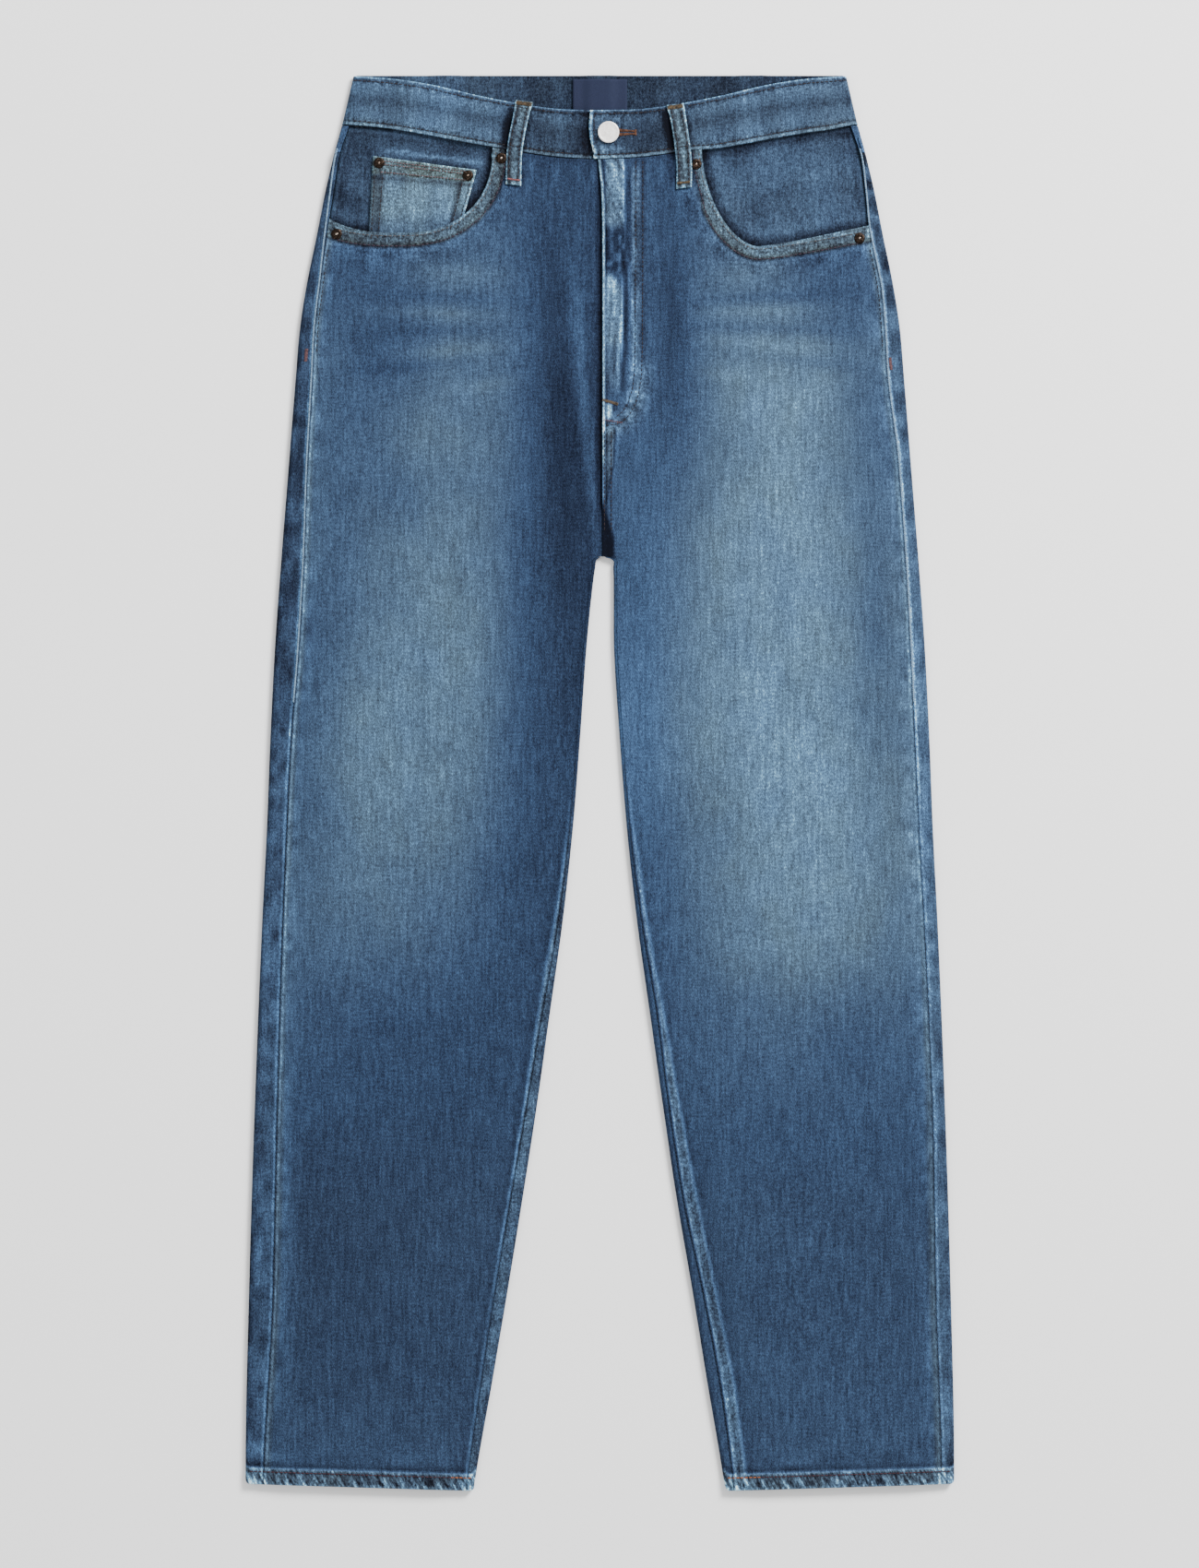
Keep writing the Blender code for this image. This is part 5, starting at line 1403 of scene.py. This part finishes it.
def roughen(tree, shader, height, strength, distance=0.0002):
    """Lets a pattern raise the surface a little."""
    bump = add_node(tree, "ShaderNodeBump", Strength=strength, Distance=distance)
    tree.links.new(height, bump.inputs["Height"])
    tree.links.new(bump.outputs["Normal"], shader.inputs["Normal"])


def two_tone(name, roughness, grain, stops, bump, **sockets):
    """A material whose noise runs between two colours and roughens it. Grain is the noise's
    scale along X, Y and Z, its detail and its roughness."""
    material, tree, shader = new_material(name, roughness, **sockets)
    pattern = noise_node(tree, tree.nodes.new("ShaderNodeTexCoord").outputs["Object"], *grain)
    tree.links.new(ramp_node(tree, pattern, stops), shader.inputs["Base Color"])
    roughen(tree, shader, pattern, bump)
    return material


# %% Denim material
Shade = namedtuple("Shade", "tone red green blue")
DENIM_SHADES = [Shade(*row) for row in (
    (0.059, 0.0020, 0.0028, 0.0071), (0.149, 0.0054, 0.0094, 0.0221),
    (0.227, 0.0109, 0.0185, 0.0394), (0.314, 0.0180, 0.0325, 0.0670),
    (0.431, 0.0309, 0.0599, 0.1207), (0.506, 0.0398, 0.0848, 0.1768),
    (0.573, 0.0514, 0.1175, 0.2511), (0.659, 0.0752, 0.1900, 0.3650),
    (0.784, 0.2030, 0.4460, 0.6350), (0.851, 0.5000, 0.6600, 0.7400),
)]
FADED_TINT = (1.58, 1.07, 0.50)
YARN_CONTRAST = 1.12


def denim_material(name, raise_tone=0.0):
    material, tree, shader = new_material(name, 0.9, Sheen_Weight=0.02, Specular_IOR_Level=0.06)
    place = tree.nodes.new("ShaderNodeTexCoord").outputs["Object"]
    tone, fade, wear, rope = (attribute(tree, label) for label in ("tone", "fade", "wear", "rope"))
    slub = noise_node(tree, place, (1.1, 12.0, 4.0), 2.5, 0.6)
    long_slub = noise_node(tree, place, (2.8, 46.0, 6.0), 2.0)
    weft = noise_node(tree, place, (7.0, 1.3, 4.0), 2.0, 0.6)
    streak = noise_node(tree, place, (1.7, 8.0, 6.0), 2.5, 0.6, 28)
    fleck = noise_node(tree, place, (1.3, 1.5, 1.4), 2.0, 0.7)
    cloud = noise_node(tree, place, (14.0, 18.0, 14.0), 3.0)
    mottle = noise_node(tree, place, (2.6, 3.0, 3.0), 3.0, 0.65)
    mapping = tree.nodes.new("ShaderNodeMapping")
    mapping.inputs["Rotation"].default_value = (0.0, 0.0, math.radians(-27))
    mapping.inputs["Scale"].default_value = (1000.0, 1000.0, 1000.0)
    tree.links.new(place, mapping.inputs["Vector"])
    rib = add_node(tree, "ShaderNodeTexWave", Scale=0.24, Distortion=1.5, Detail=1.0, Detail_Scale=1.2)
    tree.links.new(mapping.outputs["Vector"], rib.inputs["Vector"])
    rib = rib.outputs["Fac"]
    parts = [(slub, 0.30), (long_slub, 0.13), (weft, 0.11), (fleck, 0.50), (cloud, 0.07), (rib, 0.05)]
    total = math_node(tree, "ADD", tone, raise_tone)
    # Faded cloth shows its uneven yarns more than dark cloth does
    depth = math_node(tree, "MULTIPLY", math_node(tree, "ADD", total, 0.55), YARN_CONTRAST)
    rubbed = [(mottle, 0.9, wear), (streak, 1.1, rope)]
    for pattern, weight, strength in [(*part, depth) for part in parts] + rubbed:
        uneven = math_node(tree, "MULTIPLY", math_node(tree, "SUBTRACT", pattern, 0.5), weight)
        total = math_node(tree, "ADD", total, math_node(tree, "MULTIPLY", uneven, strength))
    shade = ramp_node(tree, total, [(row.tone, row[1:]) for row in DENIM_SHADES])
    tint = tree.nodes.new("ShaderNodeMix")
    tint.data_type = "RGBA"
    tint.blend_type = "MULTIPLY"
    tint.inputs[7].default_value = (*FADED_TINT, 1)
    # The fade comes and goes in broad patches, and the palest threads keep a cool white
    patches = noise_node(tree, place, (26.0, 40.0, 26.0), 2.0)
    drift = math_node(tree, "ADD", math_node(tree, "MULTIPLY", patches, 0.8), 0.55)
    cool = add_node(tree, "ShaderNodeMapRange", From_Min=0.54, From_Max=0.80, To_Min=1.0, To_Max=0.15)
    tree.links.new(total, cool.inputs["Value"])
    strength = math_node(tree, "MULTIPLY", fade, drift)
    strength = math_node(tree, "MULTIPLY", strength, cool.outputs["Result"])
    tree.links.new(strength, tint.inputs["Factor"])
    tree.links.new(shade, tint.inputs[6])
    tree.links.new(tint.outputs[2], shader.inputs["Base Color"])
    height = math_node(tree, "MULTIPLY", slub, 0.6)
    for pattern, weight in ((fleck, 0.5), (rib, 0.2)):
        height = math_node(tree, "ADD", height, math_node(tree, "MULTIPLY", pattern, weight))
    roughen(tree, shader, height, 0.6, 0.0004)
    return material


denim = denim_material("stonewashed denim")
floor.data.materials.append(new_material("pale floor", 0.9, Base_Color=(0.93, 0.93, 0.93, 1))[0])


# %% Cloth pieces and their flat sizes
def fasten(piece, material, node=None):
    """Gives a piece its material and its place on the garment, in which node it may replace."""
    piece.data.materials.clear()
    piece.data.materials.append(material)
    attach(piece, "root")
    if node:
        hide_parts(node)


def dress(piece, material, node):
    """Fastens a cloth piece."""
    fasten(piece, material, node)


FLAT_SIZES = [
    (front_right, "front_panel_right", "denim", 262, 1012, ["fly_shield"]),
    (front_left, "front_panel_left", "denim", 258, 1012, ["fly_shield"]),
    (back_right, "back_panel_right", "denim", 300, 1012, ["floor"]),
    (back_left, "back_panel_left", "denim", 300, 1012, ["floor"]),
    (yoke_right, "yoke_right", "denim", 210, 66, ["floor"]),
    (yoke_left, "yoke_left", "denim", 210, 66, ["floor"]),
    (waist, "waistband", "denim", 830, 40, ["floor"]),
    (facing_right, "pocket_facing_right", "worn_denim", 136, 92, ["back_right"]),
    (facing_left, "pocket_facing_left", "worn_denim", 138, 102, ["back_left"]),
    (coin, "coin_pocket", "worn_denim", 82, 64, ["facing_right"]),
]
for name, piece in loops.items():
    FLAT_SIZES.append((piece, name, "worn_denim", 14, 68, ["waistband_cloth"]))
for piece, node, slot, width, length, rests_on in FLAT_SIZES:
    dress(piece, denim, node)

# %% Label cloth
NAVY = [(0.0, (0.006, 0.008, 0.020)), (1.0, (0.020, 0.026, 0.055))]
label_grain = ((0.7, 0.25, 1.0), 2.0, 0.5)
label_material = two_tone("navy label weave", 0.8, label_grain, NAVY, 0.4, Specular_IOR_Level=0.1)
dress(label, label_material, "waist_label")

# %% [markdown]
# ## Sewing
# Topstitching is what holds denim's folded edges down, and the eye reads it as a row of short
# dashes. One stitch is a small spindle, and a row repeats it along a line that is dropped onto
# the finished cloth, so each stitch lies in its groove. Most of the thread has faded to dusky
# browns and mauves. Bar tacks are the same stitch set side by side, in coral, rose or old gold.

# %% Dropping a line onto the cloth
def surface_of(pieces):
    points, faces = [], []
    for piece in pieces:
        start = len(points)
        points += [tuple(v.co) for v in piece.data.vertices]
        faces += [tuple(start + i for i in face.vertices) for face in piece.data.polygons]
    return BVHTree.FromPolygons(points, faces)


def dropped(surface, x, y):
    """Height in millimetres of the highest cloth at X and Y."""
    hit = surface.ray_cast(Vector((x * MM, y * MM, 0.05)), Vector((0, 0, -1)))
    return hit[0].z / MM if hit[0] is not None else None


cloth_surface = surface_of(list(made.values()))

# %% Stitches
SPINDLE = [(-0.5, 0.0), (-0.4, 0.75), (0.0, 1.0), (0.4, 0.75), (0.5, 0.0)]
SIDES = 6


def spindle(start, end, radius):
    """Points and faces of one stitch between two points, in millimetres."""
    start, end = np.array(start), np.array(end)
    run = end - start
    length = np.linalg.norm(run)
    run = run / length
    side_way = np.cross(run, (0, 0, 1.0))
    side_way /= np.linalg.norm(side_way)
    up = np.cross(side_way, run)
    middle = (start + end) / 2
    points = [middle + run * length * SPINDLE[0][0]]
    for place, width in SPINDLE[1:-1]:
        for k in range(SIDES):
            angle = 2 * math.pi * k / SIDES
            ring = math.cos(angle) * side_way + math.sin(angle) * up
            points.append(middle + run * length * place + ring * radius * width)
    points.append(middle + run * length * SPINDLE[-1][0])
    last = len(points) - 1
    rings = len(SPINDLE) - 2
    faces = []
    for k in range(SIDES):
        after = (k + 1) % SIDES
        faces.append((0, 1 + k, 1 + after))
        for ring in range(rings - 1):
            low, high = 1 + ring * SIDES, 1 + (ring + 1) * SIDES
            faces.append((low + k, high + k, high + after, low + after))
        top = 1 + (rings - 1) * SIDES
        faces.append((top + k, last, top + after))
    return points, faces


def sew(name, stitches, radius, material):
    """One piece of thread from a list of stitches, each a pair of points."""
    points, faces = [], []
    for start, end in stitches:
        new_points, new_faces = spindle(start, end, radius)
        faces += [tuple(len(points) + i for i in face) for face in new_faces]
        points += new_points
    piece = new_piece(name, [tuple(p * MM) for p in points], faces)
    bpy.ops.object.shade_smooth()
    fasten(piece, material)
    print(f"{name}: {len(stitches)} stitches")
    return piece


def row_of(line, pitch=3.4, length=2.7, radius=0.33, lean=0.0):
    """Stitches along a line of X and Y, each resting on the cloth. A lean turns each one that
    many degrees from the line."""
    line = spaced(line, pitch)
    stitches = []
    turn = math.radians(lean)
    turned = np.array([[math.cos(turn), -math.sin(turn)], [math.sin(turn), math.cos(turn)]])
    for k in range(len(line) - 1):
        middle = (line[k] + line[k + 1]) / 2
        half = turned @ (line[k + 1] - line[k]) * (length / pitch / 2)
        ends = [middle - half, middle + half]
        heights = [dropped(cloth_surface, *end) for end in ends]
        if None in heights or abs(heights[0] - heights[1]) > 0.8:
            continue
        stitches.append([(*end, z + radius * 0.45) for end, z in zip(ends, heights)])
    return stitches


# %% Thread materials
def thread_material(name, dark, light):
    grain = ((1.6, 1.6, 1.6), 3.0, 0.7)
    return two_tone(name, 0.7, grain, [(0.3, dark), (0.7, light)], 0.5, Specular_IOR_Level=0.15)


dusky = thread_material("dusky thread", (0.006, 0.006, 0.010), (0.034, 0.024, 0.024))
plum = thread_material("plum hem thread", (0.022, 0.008, 0.014), (0.060, 0.027, 0.036))
rust = thread_material("rust thread", (0.010, 0.006, 0.005), (0.125, 0.054, 0.030))
old_gold = thread_material("old gold thread", (0.008, 0.007, 0.006), (0.130, 0.090, 0.050))
mauve = thread_material("mauve thread", (0.010, 0.007, 0.012), (0.064, 0.038, 0.060))
drab = thread_material("drab thread", (0.022, 0.020, 0.022), (0.115, 0.098, 0.092))
mauve_brown = thread_material("mauve brown thread", (0.016, 0.012, 0.015), (0.155, 0.105, 0.115))
coral = thread_material("coral thread", (0.045, 0.016, 0.018), (0.250, 0.095, 0.095))
seam_blue = thread_material("navy seam thread", (0.008, 0.012, 0.024), (0.024, 0.034, 0.060))
bright_rust = thread_material("bright rust thread", (0.130, 0.030, 0.010), (0.380, 0.130, 0.045))
rose = thread_material("rose thread", (0.020, 0.012, 0.016), (0.170, 0.085, 0.090))

# %% Rows of topstitching
dusky_rows, edge_rows, mouth_rows = [], [], []
for side in (RIGHT, LEFT):
    line = MOUTH_LINES[side]
    turn = 1 if side == RIGHT else -1
    edge_rows += row_of(moved_aside(line, 2.3 * turn)[1:-2], radius=0.28)
    inner = turn * (hem_width(side, line[:, 1:2]) - 1.5)
    mouth_rows += row_of(moved_aside(line, inner)[1:-2])
sew("mouth_edge_stitching", edge_rows, 0.28, drab)
sew("mouth_stitching", mouth_rows, 0.33, mauve)
for distance in (0.0, 5.4):
    inner = moved_aside(J_STITCH, -distance)
    dusky_rows += row_of(inner[: len(inner) - int(distance)])
for x_row in (8.6, 3.4):
    dusky_rows += row_of([(x_row, 266), (x_row, 190)])
for start, end in ((-186, -20), (BAND_END_X + 2.8, 186)):
    x = np.linspace(start, end, 90)
    dusky_rows += row_of(np.stack([x, band_low(x) + 3.2], axis=1))
    dusky_rows += row_of(np.stack([x, band_top(np.abs(x)) - 2.6], axis=1))
dusky_rows += row_of([(BAND_END_X + 2.8, 504), (BAND_END_X + 2.8, 472.6)])
coin_rows = []
for from_top in (2.4, 4.6, 9.8):
    line = [coin_point(a, from_top / COIN_HEIGHT) for a in np.linspace(0.08, 0.93, 20)]
    coin_rows += row_of(line, 2.3, 2.0, 0.45, 20)
sew("coin_stitching", coin_rows, 0.45, mauve_brown)
for from_side in (2.2, 8.2):
    share = from_side / COIN_WIDTH
    for a in (share, 1 - share):
        dusky_rows += row_of([coin_point(a, d) for d in np.linspace(0.22, 0.98, 14)])
for name in FRONT_LOOPS:
    top, length, down, across = loop_frame(name)
    share = np.linspace(0.07, 0.93, 16)[:, None]
    bow = np.hstack([loop_bow(np.sign(top[0]), share), 0 * share])
    for offset in (-3.7, 3.7):
        dusky_rows += row_of(top + across * offset + down * length * share + bow)
for side in (RIGHT, LEFT):
    upper_side = SIDE_SEAMS[side][(SIDE_SEAMS[side][:, 1] > 320) & (SIDE_SEAMS[side][:, 1] < 404)]
    dusky_rows += row_of(moved_aside(upper_side, -2.4 * side))
sew("topstitching", dusky_rows, 0.33, dusky)
seam_rows = []
for side in (RIGHT, LEFT):
    for line in (SIDE_SEAMS[side], INSEAMS[side][INSEAMS[side][:, 1] < 20]):
        seam_rows += row_of(line, 2.9, 2.2, 0.24, 18)
sew("seam_stitching", seam_rows, 0.24, seam_blue)

# %% [markdown]
# Where a back comes round to the side seam, the fold's edge is rubbed nearly white. Slanting
# pale stitches laid close together make that worn cord.

# %% Worn edges of the side seams
pale_edge = thread_material("worn seam edge", (0.060, 0.105, 0.165), (0.200, 0.310, 0.440))
EDGE_Y = [300, 380, 423, 451, 497]
EDGE_ASIDE = {RIGHT: [0.8, 0.8, 1.9, 2.8, 3.2], LEFT: [0.7, 0.7, 0.7, 0.9, 1.0]}
edge_stitches = []
for side in (RIGHT, LEFT):
    y = np.arange(478, 60, -3.0)
    x = side * (seam_x(side, y) + np.interp(y, EDGE_Y, EDGE_ASIDE[side]))
    edge_stitches += row_of(np.stack([x, y], axis=1), 1.5, 2.4, 0.68, 14)
sew("side_seam_edges", edge_stitches, 0.68, pale_edge)

# %% Hem rows
hem_rows, hem_bright = [], []
for side in (RIGHT, LEFT):
    x = np.linspace(float(inner_at[side](-523)) + 3, float(outer_at(-523)) - 3, 120)
    line = np.stack([side * x, hem_shifted(np.full(x.shape, HEM_Y + 9.6), x)], axis=1)
    for stitch in row_of(line, 3.2, 2.8, 0.4):
        middle = abs(stitch[0][0])
        bright = middle < (110 if side == RIGHT else 121)
        (hem_bright if bright else hem_rows).append(stitch)
sew("hem_stitching", hem_rows, 0.4, plum)
sew("hem_stitching_bright", hem_bright, 0.42, bright_rust)


# %% Bar tacks and buttonhole
def tack(start, end, width, pitch=0.55):
    """A dense row of short stitches set across the line from start to end."""
    start, end = np.array(start, float), np.array(end, float)
    run = (end - start) / np.linalg.norm(end - start)
    across = np.array([-run[1], run[0]]) * width / 2
    stitches = []
    for middle in spaced([start, end], pitch):
        z = dropped(cloth_surface, *middle)
        if z is not None:
            stitches.append([(*(middle - across), z + 0.15), (*(middle + across), z + 0.15)])
    return stitches


BUTTON_AT, BUTTONHOLE_END_X = (6.5, 489.8), 26.8
gold_stitches, red_stitches = [], []
for name in FRONT_LOOPS:
    top, length, down, across = loop_frame(name)
    across = across * 4.6
    upper, lower = top + down * 2.2, top + down * (length - 4.0)
    gold_stitches += tack(upper - 1.2 * across, upper + 1.2 * across, 3.4, 0.7)
    if name == "belt_loop_front_right":
        red_stitches += tack(lower - across, lower + across, 1.5)
    else:
        gold_stitches += tack(lower - across, lower + across, 1.9)
gold_stitches += tack((2.2, 288.6), (13.4, 285.4), 2.6, 0.8)
sew("bar_tacks", gold_stitches, 0.34, old_gold)
sew("bright_bar_tack", red_stitches, 0.32, coral)
foot_tack = tack((3.2, 273.6), (16.5, 271.4), 1.7, 1.1)
sew("fly_foot_tack", foot_tack, 0.32, rose)
hole = []
bx, by = BUTTON_AT
for x in np.arange(bx + 3.0, BUTTONHOLE_END_X, 0.6):
    spread = 2.5 - 1.0 * ease((x - 14) / 10)
    for sign in (-1, 1):
        z = dropped(cloth_surface, x, by + sign * 1.4)
        hole.append([(x, by + sign * 0.3, z + 0.1), (x + 0.3, by + sign * (0.4 + spread), z + 0.12)])
hole += tack((BUTTONHOLE_END_X, by - 2.0), (BUTTONHOLE_END_X, by + 2.0), 2.0)
sew("buttonhole_stitching", hole, 0.34, rust)
side_tacks = tack((218.6, 320.5), (219.4, 311.5), 2.6) + tack((-221.0, 327.0), (-221.8, 318.0), 2.6)
sew("side_bar_tacks", side_tacks, 0.3, rose)

# %% [markdown]
# ## Metal trim
# The button is a plain pale disc with a raised rim, on a shank that passes through the
# buttonhole. The rivets are small domed heads of darkened copper with a bright burr, where use
# has rubbed the finish away. Both are turned forms, so each starts as a cylinder whose upper
# face is inset and raised in steps.


# %% Metal helpers
def select_faces_above(piece, height, facing_up=0.5):
    bpy.ops.object.mode_set(mode="OBJECT")
    for face in piece.data.polygons:
        face.select = face.center.z > height and face.normal.z > facing_up
    bpy.ops.object.mode_set(mode="EDIT")


def turned_disc(name, radius, depth, steps, vertices):
    """A disc on the floor's level whose top face is stepped: each step insets the face by its
    first value and raises it by its second, in millimetres."""
    deselect_all()
    bpy.ops.mesh.primitive_cylinder_add(
        vertices=vertices, radius=radius * MM, depth=depth * MM, location=(0, 0, depth * MM / 2)
    )
    piece = bpy.context.object
    piece.name = name
    bpy.ops.object.transform_apply(location=True, rotation=True, scale=True)
    bpy.ops.object.mode_set(mode="EDIT")
    bpy.ops.mesh.select_mode(type="FACE")
    bpy.ops.mesh.select_all(action="DESELECT")
    select_faces_above(piece, depth * MM * 0.9)
    for inset, rise in steps:
        bpy.ops.mesh.inset(thickness=inset * MM, depth=0)
        bpy.ops.transform.translate(value=(0, 0, rise * MM))
    bpy.ops.object.mode_set(mode="OBJECT")
    rounded = piece.modifiers.new("rounded", "BEVEL")
    rounded.width = 0.25 * MM
    rounded.segments = 2
    rounded.limit_method = "ANGLE"
    rounded.angle_limit = math.radians(40)
    bpy.ops.object.modifier_apply(modifier=rounded.name)
    bpy.ops.object.shade_smooth_by_angle(angle=math.radians(38))
    return piece


def moved_to(piece, x, y, z, tilt=(0.0, 0.0)):
    """Tilts a piece and puts it in place, with its origin left at the world's."""
    piece.rotation_euler = (math.radians(tilt[0]), math.radians(tilt[1]), 0)
    piece.location = (x * MM, y * MM, z * MM)
    select_only(piece)
    bpy.ops.object.transform_apply(location=True, rotation=True, scale=True)


# %% Button
def metal_material(name, color, worn_color, roughness, worn_at, metallic=1.0):
    """Metal whose finish is rubbed through in patches."""
    grain = ((1.6, 1.6, 1.6), 4.0, 0.65)
    stops = [(worn_at, color), (worn_at + 0.22, worn_color)]
    return two_tone(name, roughness, grain, stops, 0.25, Metallic=metallic)


nickel = metal_material("pale nickel", (0.80, 0.76, 0.73), (1.0, 0.98, 0.95), 0.34, 0.40, 0.12)
copper = metal_material("antique copper", (0.014, 0.010, 0.008), (0.080, 0.052, 0.038), 0.5, 0.5)
bright_burr = metal_material("rubbed copper", (0.24, 0.18, 0.14), (0.70, 0.62, 0.54), 0.35, 0.45)

band_z = dropped(cloth_surface, bx, by + 6)
cap_steps = [(0.9, 0.35), (0.7, -0.35), (0.8, -0.05), (2.6, 0.10), (1.6, 0.04)]
cap = turned_disc("button_cap", 8.0, 1.3, cap_steps, 64)
shank = turned_disc("button_shank", 2.2, 2.6, [(0.3, 0.0)], 24)
moved_to(shank, bx, by, band_z - 1.7)
moved_to(cap, bx, by, band_z + 0.85, (2.5, -2.0))
fasten(cap, nickel, "button")
fasten(shank, nickel)
print("button stands on the band at, mm:", round(band_z, 2))

# %% Rivets
RIVETS = {
    "rivet_right_waist": (-74.2, 470.6), "rivet_right_side": (-198.4, 413.6),
    "rivet_left_waist": (72.6, 466.0), "rivet_left_side": (195.6, 410.4),
    "rivet_coin_outer": (-166.3, 467.2), "rivet_coin_inner": (-99.4, 457.7),
}
for name, (x, y) in RIVETS.items():
    head = turned_disc(name + "_head", 4.1, 0.5, [(0.5, 0.25), (1.1, 0.22), (0.7, -0.12)], 32)
    burr = turned_disc(name + "_burr", 0.9, 0.9, [(0.3, 0.12)], 20)
    z = max(dropped(cloth_surface, x + dx, y + dy) for dx in (-2, 0, 2) for dy in (-2, 0, 2))
    moved_to(head, x, y, z - 0.1, (1.5, 1.0))
    moved_to(burr, x, y, z + 0.35, (1.5, 1.0))
    fasten(head, copper, name)
    fasten(burr, bright_burr)
print("rivets:", len(RIVETS))

# %% [markdown]
# The solids that no one sees from the front, such as the back pockets, the fly shield and the
# zip, stay as they are and take the same denim and a brass.

# %% Hidden solids
plain_denim = denim_material("plain denim", 0.36)
brass = metal_material("zip brass", (0.20, 0.13, 0.05), (0.40, 0.28, 0.12), 0.4, 0.4)
HIDDEN = [
    "fly_shield", "zip_tape", "back_pocket_right", "back_pocket_left", "belt_loop_back_right",
    "belt_loop_back_centre", "belt_loop_back_left",
]
for node in HIDDEN:
    material = brass if node == "zip_tape" else plain_denim
    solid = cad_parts[node]
    if not solid.material_slots:
        solid.data.materials.append(material)
    for slot in solid.material_slots:
        slot.material = material
